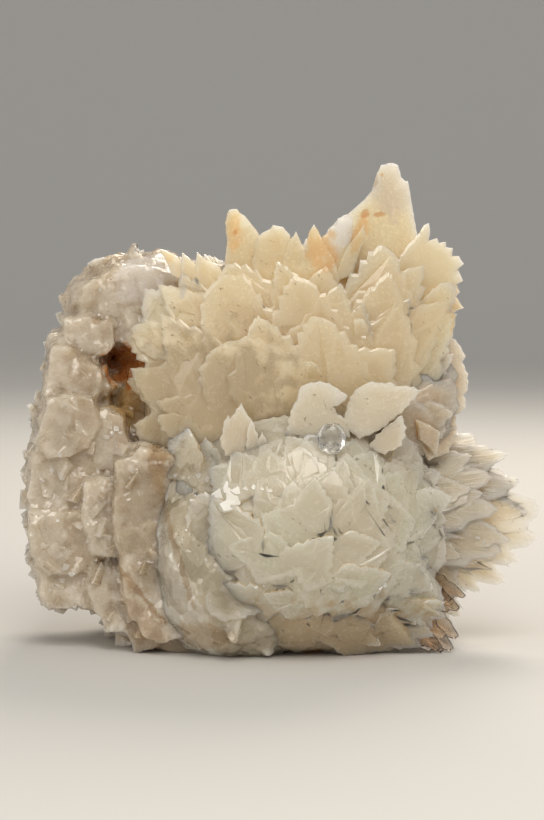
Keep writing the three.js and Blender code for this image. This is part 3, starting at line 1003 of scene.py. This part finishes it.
# Its plates that can be told apart, of which three are at its right edge and at its foot
lower_plates = [
    (
        [
            (395, 545), (398, 515), (408, 500), (415, 498), (418, 490), (430, 487), (440, 490),
            (452, 497), (446, 508), (440, 513), (434, 507), (429, 512), (432, 530), (415, 548),
        ],
        (392, 540), (448, 499), 0.8, 0.8, 0.8,
    ),
    (
        [
            (380, 505), (388, 485), (397, 474), (408, 466), (420, 461), (423, 470), (419, 485),
            (414, 500), (402, 516),
        ],
        (378, 515), (420, 463), 1.0, 0.5, 1.4,
    ),
    (
        [
            (310, 610), (345, 602), (390, 600), (430, 600), (446, 602), (438, 611), (432, 620),
            (420, 632), (406, 640), (403, 648), (380, 652), (345, 656), (320, 640),
        ],
        (310, 606), (446, 604), 0.7, 0.3, 1.4,
    ),
    # The pointed ones that stand along its top
    (
        [(262, 470), (266, 446), (276, 422), (288, 438), (300, 455), (296, 476)],
        (280, 478), (276, 422), 0.4, 0.3, 1.3,
    ),
    (
        [(340, 472), (346, 448), (358, 430), (371, 444), (382, 458), (376, 476)],
        (361, 480), (358, 430), 0.3, 0.6, 1.3,
    ),
    (
        [(388, 480), (392, 455), (405, 434), (417, 450), (426, 468), (416, 486)],
        (407, 490), (405, 434), 0.4, 0.2, 1.3,
    ),
    (
        [(190, 484), (192, 456), (205, 437), (219, 452), (230, 470), (218, 490)],
        (208, 492), (205, 437), 0.3, 0.4, 1.3,
    ),
    (
        [(292, 466), (298, 444), (312, 428), (326, 440), (338, 456), (328, 474)],
        (314, 478), (312, 428), 0.2, 0.4, 1.3,
    ),
]
LOWER_HUB = (5, 13)
lower = grown_together("lower_rosette", [
    heart((5, -1.6, 25.6), (30.2, 29.8, 27.2)),
    *shingles(
        masters, LOWER, lower_rows, 300, (2, 1, 1, 0), step=0.25, sink=1.0, flat=1.1, lift=0.08
    ),
    *(drawn(LOWER, *plate) for plate in lower_plates),
    *strewn(
        masters, LOWER, LOWER_HUB, count=26, long=12, seed=9.0, raised=0.05, share=0.9, slender=0.8
    ),
])
lower = flashes(lower, [
    (220, 496, 2.6), (226, 489, 2.2), (231, 496, 3.0), (238, 491, 2.2), (237, 501, 2.2),
    (228, 504, 2.6), (222, 508, 1.6), (246, 489, 1.0), (254, 487, 0.9), (262, 489, 0.8),
    (270, 491, 1.1), (256, 587, 0.8), (264, 586, 0.6), (380, 588, 1.3), (384, 585, 1.1),
    (378, 592, 0.9),
])
cut_at_foot(lower)
wears(lower, calcite(
    "pale calcite", (0.56, 0.49, 0.37, 1), (0.60, 0.57, 0.45, 1), (0.73, 0.70, 0.60, 1),
    [(10, 2, 45, 13, 0, 0.8, (0.47, 0.34, 0.19, 1)), (7, 0, 3, 2, 0, 1, RUST)],
))
for crowd in masters.values():
    for master in crowd:
        bpy.data.objects.remove(master)


# The long sheaf of pointed blades on the right, and the small thin ones that hang below it.
# Each blade is a bundle of slim crystals side by side, which leaves it finely ridged.
def sheaf(name, blunt, seed):
    """A ridged blade: a broad layer under a row of slim crystals."""
    slim = layer(10, 0, 0.0, seed + 31, 0.2, -0.4, 0.6)
    parts = [layer(20, blunt, 0.04, seed)]
    for k in range(6):
        x = -0.36 + 0.145 * k + wobble(seed, k, 0.04)
        reach = 0.95 - 0.8 * abs(x) ** 1.2 + wobble(seed, k + 10, 0.12)
        low = 0.04 + wobble(seed, k + 20, 0.04)
        out = wobble(seed, k + 30, 0.05)
        parts.append(copy_of(slim, laid(x * 0.7, low, out, -x * 22, 0.22, reach - low, 0.7)))
    bpy.data.objects.remove(slim)
    return grown_together(name, parts)


ridged = {
    "pointed": [sheaf(f"ridged blade {i}", 0.0, 41 + 100 * i) for i in range(3)],
    "pointed blunt": [sheaf("blunt ridged blade", 0.2, 741)],
    "pointed broad": [sheaf("broad ridged blade", 0.36, 841)],
}
FAN = {"centre": (26, 6, 26), "radii": (34, 13, 24), "rim_rise": 0, "curved": 0}
BLADE_THICK = 2.2
fan_rows = [
    [
        (42, 42.5, 26, 38, 11, {"blunt": 0.2}),
        (46.5, 39.5, 25, 37, 12),
        (50.8, 17.6, 27, 27, 12),
        (48, 13, 27, 25, 11),
        (38.6, 11.3, 28, 21, 8, {"thick": BLADE_THICK}),
        (39, 5.4, 28, 15, 7, {"thick": BLADE_THICK}),
        (37.4, 1.5, 27, 13, 6, {"thick": BLADE_THICK}),
    ],
    [
        (49.6, 33.6, 22, 35, 14),
        (54.8, 27.2, 22, 32, 15, {"blunt": 0.12}),
        (54.8, 22.2, 22, 28, 15),
        (35.5, 9, 18, 13, 12),
    ],
    [
        (45, 36, 22, 33, 12),
        (46, 29, 20, 31, 12),
        (47, 20, 20, 27, 12),
    ],
]
fan = grown_together("right_sheaf", shingles(
    ridged, FAN, fan_rows, 700, (1, 2, 2), kinds=("pointed", "pointed")
))
fan = flashes(fan, [
    (524, 512, 1.4), (518, 508, 1.0), (512, 506, 0.8), (478, 538, 1.2), (484, 542, 0.8),
    (460, 528, 0.8),
])
cut_at_foot(fan)
wears(fan, calcite(
    "ridged calcite", (0.62, 0.51, 0.37, 1), (0.72, 0.62, 0.48, 1), (0.82, 0.76, 0.66, 1),
    rough=0.18, depth=5.0, lines=0.20, steps=0.05,
))

# The rounded lobe on the right, between the rosettes and further back: one broad, curved plate
# of duller calcite with a finely toothed edge, over a few ridged blades like the sheaf's.
LOBE = {"centre": (22, 4, 50), "radii": (19, 18, 18), "rim_rise": 0.3, "curved": 0.5}
lobe_rows = [
    [],
    [
        (35.5, 61, 24, 50, 14, {"blunt": 0.4}),
        (37.5, 54, 23, 47, 14, {"blunt": 0.2}),
        (35, 46, 22, 46, 12),
    ],
]
lobe_plates = [
    (
        [
            (395, 385), (398, 355), (415, 336), (432, 328), (445, 331), (455, 340), (461, 347),
            (465, 356), (463, 362), (467, 374), (468, 386), (465, 395), (466, 404), (464, 411),
            (456, 415), (457, 436), (448, 452), (430, 460), (408, 430),
        ],
        (400, 420), (466, 372), 0.6, 0.4, 1.4,
    ),
    # The small blades that hang below it
    (
        [(418, 420), (430, 425), (440, 432), (438, 448), (436, 456), (430, 448), (420, 440)],
        (422, 418), (436, 456), 3.4, 0.7, 0.3,
    ),
]
lobe = grown_together("right_lobe", [
    *shingles(ridged, LOBE, lobe_rows, 500, (2, 2), kinds=("pointed", "pointed")),
    *(drawn(LOBE, *plate) for plate in lobe_plates),
])
cut_at_foot(lobe)
wears(lobe, calcite(
    "lobe calcite", (0.56, 0.44, 0.31, 1), (0.64, 0.52, 0.38, 1), (0.78, 0.72, 0.62, 1),
    rough=0.26, depth=6.0, lines=0.20, steps=0.15,
))
for crowd in ridged.values():
    for master in crowd:
        bpy.data.objects.remove(master)

# The blades that stand in the valley between the rosettes. They grew out of the lower one: two
# broad ones with broken ends and a small one on the right, and three pointed ones on the left.
VALLEY = {"centre": (6, -2, 20), "radii": (80, 24, 60), "rim_rise": 0.3, "curved": 0}
valley_plates = [
    (
        [
            (340, 425), (346, 410), (350, 397), (358, 388), (367, 383), (378, 382), (394, 384),
            (396, 387), (402, 385), (418, 388), (421, 390), (412, 402), (405, 409), (398, 416),
            (386, 426), (374, 433), (360, 438),
        ],
        (352, 430), (420, 389), 0.6, 0.6, 1.5,
    ),
    (
        [
            (284, 440), (288, 420), (292, 408), (297, 400), (299, 390), (307, 383), (320, 381),
            (333, 385), (342, 391), (349, 397), (342, 403), (334, 406), (337, 414), (348, 420),
            (350, 436), (320, 448),
        ],
        (316, 445), (318, 381), 0.2, 0.5, 1.5,
    ),
    (
        [(368, 448), (376, 435), (390, 424), (402, 415), (407, 428), (402, 445), (385, 455)],
        (375, 452), (403, 416), 0.2, 0.2, 1.3,
    ),
    (
        [
            (220, 442), (223, 426), (227, 415), (230, 419), (236, 409), (241, 403), (246, 412),
            (251, 420), (256, 432), (256, 450), (240, 460), (226, 455),
        ],
        (240, 458), (241, 403), 0.1, 0.4, 1.3,
    ),
    (
        [(246, 450), (247, 430), (252, 420), (258, 434), (260, 452), (253, 460)],
        (253, 462), (252, 420), 0.6, 0.8, 1.1,
    ),
    (
        [(256, 455), (258, 440), (262, 431), (267, 442), (270, 458), (262, 466)],
        (263, 466), (262, 431), 0.4, 0.4, 1.1,
    ),
]
valley = grown_together("valley_blades", [drawn(VALLEY, *plate) for plate in valley_plates])
cut_at_foot(valley)
wears(valley, calcite(
    "valley calcite", (0.60, 0.51, 0.38, 1), (0.68, 0.61, 0.48, 1), (0.76, 0.72, 0.62, 1),
    rough=0.20, depth=8.0, lines=0.10, steps=0.15,
))

# The small clear blades that hang under the sheaf. They are brown calcite without the milky
# veils of the rest, and one can look into them.
clear_blades = [
    ((38, 8.6, 29, 12), 6), ((39.2, 11.4, 29, 15), 5), ((36.3, 10.8, 27, 14), 5),
    ((37.6, 3.2, 27, 9), 7), ((36.5, 0.8, 26, 7), 7), ((34.4, 0.6, 25, 6), 6),
]
CLEAR_THICK = 1.6
CLEAR_TIP_DEPTH = -8  # of the first blade. Each next one lies 1 mm nearer to the viewer
CLEAR_ROOT_DEPTH = -5
CLEAR_FACE = Vector((0.2, -1, 0.1))
glassy = layer(22, 0.08, 0.05, 55, back=-0.3)
hanging = []
for i, ((tip_x, tip_z, root_x, root_z), width) in enumerate(clear_blades):
    tip = Vector((tip_x, CLEAR_TIP_DEPTH - i, tip_z))
    root = Vector((root_x, CLEAR_ROOT_DEPTH - i, root_z))
    place = plate_place(root, tip, CLEAR_FACE, width, CLEAR_THICK)
    hanging.append(copy_of(glassy, place, 0.5 + wobble(i, 910, 0.5)))
bpy.data.objects.remove(glassy)
clear = grown_together("clear_blades", hanging)


def glass(name, colour, density, rough):
    """Clear calcite, which light crosses. It absorbs a little of it on the way."""
    made, shader, v = material(
        name, Base_Color=(1, 1, 1, 1), Roughness=rough, IOR=1.6, Transmission_Weight=1.0
    )
    tint = v.node("ShaderNodeVolumeAbsorption", Color=colour, Density=density)
    v.tree.links.new(tint.socket, v.tree.nodes["Material Output"].inputs["Volume"])
    place = v.node(
        "ShaderNodeMapping", Vector=v.node("ShaderNodeTexCoord", out=3), Scale=(1 / MM,) * 3
    )
    fine = v.node("ShaderNodeTexNoise", Vector=place, Scale=0.6, Detail=3.0)
    bump = v.node("ShaderNodeBump", Height=fine * 0.12, Distance=MM)
    v.tree.links.new(bump.socket, shader.inputs["Normal"])
    worn = fine.to(0.4, 0.7) * 0.2 + rough
    v.tree.links.new(worn.socket, shader.inputs["Roughness"])
    return made


cut_at_foot(clear)
wears(clear, glass("clear brown calcite", (0.80, 0.60, 0.36, 1), density=1700, rough=0.15))

# The clear crystal: a glassy, rounded bead of calcite that sits between the rosettes, on the
# upper edge of the lower one. Its faces are worn and dimpled.
CRYSTAL_MIDDLE = Vector((10.9, -25.6, 46))
CRYSTAL_RADII = (3.0, 2.0, 3.4)
drop = start_with(bpy.ops.mesh.primitive_ico_sphere_add, subdivisions=2, radius=1)
bpy.ops.object.mode_set(mode="EDIT")
bpy.ops.mesh.select_all(action="SELECT")
bpy.ops.transform.vertex_random(offset=0.10, seed=4)
bpy.ops.object.mode_set(mode="OBJECT")
drop.data.transform(
    Matrix.Scale(MM, 4)
    @ Matrix.Translation(CRYSTAL_MIDDLE + SHIFT)
    @ Matrix.Diagonal((*CRYSTAL_RADII, 1))
)
drop.name = "clear_crystal"
wears(drop, glass("clear calcite", (0.90, 0.87, 0.80, 1), density=20, rough=0.10))

# The massive calcite: boulders that grew into each other behind and beside the rosettes, and
# carry them. It broke along the mineral's three cleavage planes, so that small slanted blocks
# stand in steps all over it. An iron-stained pocket is left open in its front, and the orange of
# its upper part is partly a painted glow, for the light that comes through the deep calcite.
VOXEL = 0.8 * MM
BIG_CHIP = 1.6  # times the size that a stone gives for its chips
SMALL_CHIP = 0.7
# Texture, size of its grains and height of its relief, both in millimetres
ROUGH_LAYERS = (("CLOUDS", 9, 1.8), ("VORONOI", 3.2, -0.6), ("CLOUDS", 1.6, 0.4))
BROWN = (0.34, 0.21, 0.09, 1)


def cleavage_block():
    """A block with a slanted end, one unit long each way, which each chip is a copy of."""
    made = start_with(bpy.ops.mesh.primitive_cube_add, size=1)
    bpy.ops.object.mode_set(mode="EDIT")
    pick(made, "faces", lambda c: c.z > 0.4)
    bpy.ops.transform.resize(value=(0.7, 0.8, 1))
    pick(made, "faces", lambda c: c.x > 0.4)
    bpy.ops.transform.rotate(value=0.3, orient_axis="Y", center_override=(0.5, 0, 0))
    pick(made, "faces", lambda c: c.y > 0.35)
    bpy.ops.transform.rotate(value=-0.25, orient_axis="X", center_override=(0, 0.5, 0))
    bpy.ops.object.mode_set(mode="OBJECT")
    return made


def chips(block, stone, middle, count, size, seed, sunk):
    """Blocks that stand in steps on a stone, all with nearly the same slant. They are spread
    evenly as seen from its middle, and sunk in it by a share of their size."""
    skin = BVHTree.FromPolygons(
        [corner.co for corner in stone.data.vertices],
        [face.vertices for face in stone.data.polygons],
    )
    slant = Matrix((
        (1.0, 0.12, 0.16),
        (0.0, 0.98, 0.18),
        (0.0, 0.0, 0.97),
    ))
    lie = Matrix.Rotation(seed, 3, "Y") @ Matrix.Rotation(seed * 1.7, 3, "X")
    made = []
    for i in range(count):
        height = 1 - (2 * i + 1) / count
        turn = i * GOLDEN_ANGLE + seed
        ring = math.sqrt(1 - height * height)
        out = Vector((ring * math.cos(turn), ring * math.sin(turn), height))
        place = skin.ray_cast(middle, out)[0]
        if place is None:
            continue
        girth = size * (1 + wobble(seed + 1, i, 0.45))
        sizes = Matrix.Diagonal([girth * (1 + wobble(seed + 2 + k, i, 0.35)) for k in range(3)])
        tumble = Matrix.Rotation(wobble(seed + 7, i, 0.45), 3, out)
        axes = (tumble @ lie @ slant @ sizes).to_4x4()
        axes.translation = place - out * girth * (sunk + wobble(seed + 6, i, 0.12))
        made.append(copy_of(block, Matrix.Scale(MM, 4) @ axes))
    return made


def broken_mass(name, stones, big_sunk, small_sunk, hollow=None):
    """Stones grown together, with a rough skin and sharp chips that stand out of it. Each stone
    comes with its middle, the size of its chips and how many of them are big and small."""
    block = cleavage_block()
    parts = []
    middles = []
    for i, ((stone, middle), chip, big, _) in enumerate(stones):
        parts += chips(block, stone, middle, big, chip * BIG_CHIP, 2.0 + i, big_sunk)
        stone.data.transform(Matrix.Scale(MM, 4))
        parts.append(stone)
        middles.append(middle)
    mass = grown_together(name, parts)
    if hollow:
        cut_away(mass, hollow)
    mass.data.remesh_voxel_size = VOXEL
    mass.data.remesh_voxel_adaptivity = 0
    bpy.ops.object.voxel_remesh()
    bpy.ops.object.mode_set(mode="EDIT")
    bpy.ops.mesh.select_all(action="SELECT")
    bpy.ops.mesh.vertices_smooth(factor=0.5, repeat=2)
    bpy.ops.object.mode_set(mode="OBJECT")
    for kind, size, height in ROUGH_LAYERS:
        grain = bpy.data.textures.new("grain", kind)
        grain.noise_scale = size * MM
        rough = mass.modifiers.new("rough", "DISPLACE")
        rough.texture = grain
        rough.texture_coords = "GLOBAL"
        rough.strength = height * MM
        bpy.ops.object.modifier_apply(modifier="rough")
    mass.data.transform(Matrix.Scale(1 / MM, 4))
    flakes = []
    for i, middle in enumerate(middles):
        _, chip, _, small = stones[i]
        flakes += chips(block, mass, middle, small, chip * SMALL_CHIP, 12.3 + i, small_sunk)
    mass.data.transform(Matrix.Scale(MM, 4))
    bpy.data.objects.remove(block)
    mass = grown_together(name, [mass, *flakes])
    bpy.ops.object.shade_smooth_by_angle(angle=math.radians(25))
    return mass


def boulder(outline, front, back, narrow):
    """A boulder: an outline on the display face, which is narrower at its front and its back by
    a share. Both depths are in millimetres."""
    corners = [Vector((x, 0, z)) + SHIFT for x, z in outline]
    middle = sum(corners, Vector()) / len(corners)
    made = start_with(
        bpy.ops.mesh.primitive_circle_add,
        vertices=len(corners), radius=1, fill_type="NGON", rotation=(math.pi / 2, 0, 0),
    )
    bpy.ops.object.transform_apply(rotation=True)
    for vertex, corner in zip(made.data.vertices, corners):
        vertex.co = middle + (corner - middle) * narrow + Vector((0, front, 0))
    bpy.ops.object.mode_set(mode="EDIT")
    bpy.ops.mesh.select_all(action="SELECT")
    depth = back - front
    scale = narrow
    for share, next_scale in ((0.25, 0.97), (0.35, 1.0), (0.40, narrow)):
        grow = next_scale / scale
        bpy.ops.mesh.extrude_region_move(TRANSFORM_OT_translate={"value": (0, depth * share, 0)})
        bpy.ops.transform.resize(value=(grow, 1, grow), center_override=middle)
        scale = next_scale
    bpy.ops.mesh.select_all(action="SELECT")
    bpy.ops.mesh.quads_convert_to_tris()
    bpy.ops.mesh.subdivide(number_cuts=2)
    bpy.ops.transform.vertex_random(offset=1.0, seed=len(corners))
    bpy.ops.mesh.normals_make_consistent(inside=False)
    bpy.ops.object.mode_set(mode="OBJECT")
    return made, middle + Vector((0, (front + back) / 2, 0))


def in_mm(outline):
    """An outline in the photo's pixels as one in millimetres on the display face."""
    return [
        ((column - AXIS_COLUMN) * MM_A_PIXEL, (FOOT_ROW - row) * MM_A_PIXEL)
        for column, row in outline
    ]


# Outline, front, back, how much narrower both are, size of chips, number of big and small ones
boulders = [
    # The wall on the left, lump over lump from its top
    (
        in_mm([
            (48, 334), (62, 331), (80, 348), (106, 362), (114, 380), (102, 408), (70, 412),
            (38, 402), (43, 367),
        ]),
        -8, 21, 0.76, 3.2, 8, 36,
    ),
    (
        in_mm([
            (44, 392), (70, 380), (100, 388), (108, 420), (94, 452), (60, 460), (30, 452),
            (33, 425),
        ]),
        -10.5, 25, 0.8, 3.2, 8, 36,
    ),
    (
        in_mm([
            (29, 442), (60, 436), (98, 444), (108, 480), (98, 512), (60, 518), (25, 508),
            (22, 485),
        ]),
        -9, 22.5, 0.86, 3.2, 8, 36,
    ),
    (
        in_mm([
            (25, 498), (60, 500), (100, 502), (110, 538), (100, 570), (60, 576), (33, 564),
            (26, 536),
        ]),
        -10.5, 26, 0.84, 3.2, 8, 36,
    ),
    (
        in_mm([
            (24, 552), (60, 556), (104, 556), (112, 592), (98, 612), (79, 603), (54, 611),
            (38, 603),
        ]),
        -9, 21, 0.76, 3.2, 8, 36,
    ),
    # The lumps between it and the slab
    (
        in_mm([
            (84, 402), (108, 398), (128, 412), (133, 440), (122, 472), (95, 474), (82, 440),
        ]),
        -9, 24, 0.8, 3.2, 6, 24,
    ),
    (
        in_mm([
            (84, 468), (110, 462), (126, 486), (128, 530), (114, 562), (92, 556), (80, 510),
        ]),
        -12, 24, 0.8, 3.2, 6, 24,
    ),
    (
        in_mm([
            (88, 548), (112, 552), (130, 576), (128, 612), (112, 626), (94, 612), (84, 580),
        ]),
        -10.5, 24, 0.8, 3.2, 6, 24,
    ),
    # The lump that closes the gap under the lobe, and the lobe
    (
        in_mm([
            (60, 316), (92, 310), (118, 320), (120, 342), (104, 360), (80, 352), (62, 340),
        ]),
        -4, 24, 0.84, 3.2, 4, 10,
    ),
    (
        [
            (-46, 72), (-44, 76), (-38, 80), (-34, 82), (-24, 82),
            (-13, 78), (-12, 66), (-30, 58), (-43, 66),
        ],
        -2, 27, 0.7, 4.5, 4, 0,
    ),
    # The slab between the wall and the lower rosette, in two
    (
        in_mm([
            (110, 450), (140, 432), (176, 436), (196, 470), (196, 540), (178, 590), (138, 588),
            (108, 530),
        ]),
        -15, 20, 0.84, 3.6, 20, 50,
    ),
    (
        in_mm([
            (112, 516), (146, 500), (186, 506), (204, 560), (206, 620), (178, 640), (142, 634),
            (120, 600),
        ]),
        -16, 20, 0.84, 3.6, 20, 50,
    ),
    # The foot under them
    (
        [(-38, 12), (-35, 4), (-28, -1), (-20, -3), (-6, -4), (-6, 20), (-20, 28)],
        -12, 22, 0.74, 3.6, 50, 110,
    ),
    # The two halves of the back
    (
        [
            (-36, 58), (-24, 70), (-4, 77), (10, 62), (12, 30),
            (6, 2), (-12, -4), (-28, 0), (-40, 24),
        ],
        -2, 30, 0.8, 4.5, 40, 50,
    ),
    (
        [
            (-6, 72), (8, 78), (23, 79), (33, 62), (35, 34),
            (28, 8), (14, -4), (-8, -2), (-12, 30),
        ],
        -6, 28.5, 0.82, 4.5, 50, 70,
    ),
    # What covers the hearts from above and from the right
    (
        [
            (-24, 66), (-21, 77), (-12, 79.5), (-4, 81), (8, 81.5), (22, 81), (30, 68),
            (20, 56), (-12, 56),
        ],
        -1, 22, 0.85, 3.6, 16, 40,
    ),
    (
        [(16, 44), (31, 44), (36.5, 34), (37, 20), (32, 6), (16, 2)],
        -5, 25, 0.86, 3.6, 16, 40,
    ),
]


def stained_pocket():
    """The hollow between the wall and the upper rosette, as the solid that is cut out."""
    outline = in_mm([
        (100, 366), (113, 353), (132, 350), (148, 368), (144, 384), (150, 402), (138, 403),
        (120, 390), (112, 381),
    ])
    made, _ = boulder(outline, -30, -3, 1.0)
    made.data.transform(Matrix.Scale(MM, 4))
    return made


massive = broken_mass("massive_calcite", [
    (boulder(*shape), chip, big, small) for *shape, chip, big, small in boulders
], 0.56, 0.6, stained_pocket())
massive = flashes(massive, [
    (107, 437, 1.3), (112, 433, 1.2), (116, 428, 1.4), (121, 433, 0.9), (111, 428, 0.7),
    (147, 298, 0.8), (143, 309, 0.7), (133, 393, 1.2), (52, 470, 0.9), (85, 500, 0.7),
    (150, 600, 0.8), (96, 560, 0.8), (50, 590, 0.9), (100, 290, 0.8), (122, 262, 1.0),
    (135, 470, 1.5), (131, 478, 1.0), (128, 500, 0.9), (158, 536, 1.4), (150, 560, 1.6),
    (156, 566, 1.0), (168, 590, 1.3), (60, 455, 1.0), (66, 566, 1.8), (72, 574, 1.3),
    (62, 580, 1.1), (42, 480, 1.0), (58, 520, 0.8), (88, 540, 1.0),
])
IN_POCKET = (-9, -6.5, 12, 16)  # the depths between which the pocket's walls are stained
cut_at_foot(massive)
wears(massive, calcite(
    "massive calcite", (0.46, 0.36, 0.25, 1), (0.54, 0.45, 0.34, 1), (0.72, 0.66, 0.56, 1),
    [
        (-28.8, 74.6, 0.9, 5, -17, 0.7, BROWN),
        (-28.4, 13.4, 0.9, 11, -40, 0.7, BROWN),
        (-19.7, 23.5, 1.2, 18, -21, 0.7, BROWN),
        (-24.4, 39, 2.5, 8, 0, 0.7, BROWN),
        (-25, 49, 4, 3, 0, 0.7, BROWN),
        (-28, 28, 8, 17, -10, 0.6, (0.36, 0.27, 0.17, 1)),
        (-27, 4, 16, 5, 70, 0.6, (0.40, 0.28, 0.17, 1)),
        # The whiter top of the lobe: partly its own frosty white, partly a painted highlight where
        # the light falls on its top
        (-27, 77, 9, 7, 0, 0.45, (0.84, 0.82, 0.79, 1)),  # the white top of the lobe
        # The pocket's walls: a brown stain, and above it an orange that is partly stain and partly
        # painted glow of light through the deep calcite
        (-29, 52, 8, 9, 0, 1, (0.46, 0.30, 0.13, 1), *IN_POCKET),
        (-31, 59, 6, 6, 0, 1, (0.50, 0.19, 0.05, 1), *IN_POCKET),
    ],
    rough=0.28, depth=8.0, lines=0, steps=0, grains=0.7,
))


# The milky shoulder that joins the wall to the lower rosette, with a bright patch that is a
# painted highlight over faces that flash. It is one rounded lump of milky calcite, as broken as
# the rest of the rock, with a few plates of its own.
def egg(centre, radii, fullness):
    """An egg in millimetres, and its middle."""
    made = heart(centre, radii, fullness)
    made.data.transform(Matrix.Scale(1 / MM, 4) @ made.matrix_world)
    made.matrix_world = Matrix.Identity(4)
    return made, Vector(centre) + SHIFT


shoulder = broken_mass("milky_shoulder", [
    (egg((-8, -2, 21), (19, 25.6, 24.5), 2.3), 3.4, 60, 160),
], 0.58, 0.62)
SHOULDER = {"centre": (-8, -2, 21), "radii": (21, 26, 27), "rim_rise": 0.3, "curved": 0}
shoulder_plates = [
    (
        [
            (166, 478), (167, 455), (168, 440), (174, 431), (183, 426), (187, 424), (192, 434),
            (198, 447), (204, 456), (200, 470), (188, 482),
        ],
        (186, 485), (187, 424), 2.2, 0.3, 1.2,
    ),
    (
        [
            (189, 484), (192, 466), (196, 454), (203, 450), (211, 454), (218, 466), (226, 478),
            (218, 492), (202, 492),
        ],
        (206, 494), (203, 450), 2.4, 0.9, 1.2,
    ),
    (
        [
            (185, 520), (190, 500), (205, 492), (222, 500), (236, 512), (240, 530), (236, 560),
            (220, 575), (200, 565), (188, 545),
        ],
        (215, 575), (210, 494), 1.0, 0.6, 1.6,
    ),
    (
        [
            (205, 600), (212, 580), (232, 572), (262, 575), (275, 590), (262, 612), (240, 620),
            (222, 622), (208, 612),
        ],
        (240, 560), (226, 622), 1.0, 0.3, 1.6,
    ),
]
shoulder = grown_together("milky_shoulder", [
    shoulder, *(drawn(SHOULDER, *plate) for plate in shoulder_plates),
])
shoulder = flashes(shoulder, [
    (199, 476, 1.4), (207, 480, 1.2), (214, 500, 2.0), (214, 548, 1.0), (206, 560, 0.8),
    (176, 475, 1.0), (186, 530, 0.7), (182, 585, 0.8),
])
cut_at_foot(shoulder)
wears(shoulder, calcite(
    "shoulder calcite", (0.50, 0.43, 0.31, 1), (0.57, 0.505, 0.39, 1), (0.75, 0.71, 0.63, 1),
    [
        (-20.2, 22, 1.0, 18, -17, 0.5, BROWN),
        (-14.5, 5, 8, 4, 0, 0.5, (0.42, 0.27, 0.13, 1)),
        # Painted highlight: the white oval over the patch of faces that flash
        (-10, 30, 4, 4, 0, 0.6, (0.90, 0.89, 0.86, 1)),
    ],
    rough=0.2, depth=9.0, lines=0, steps=0, grains=1.5,
))
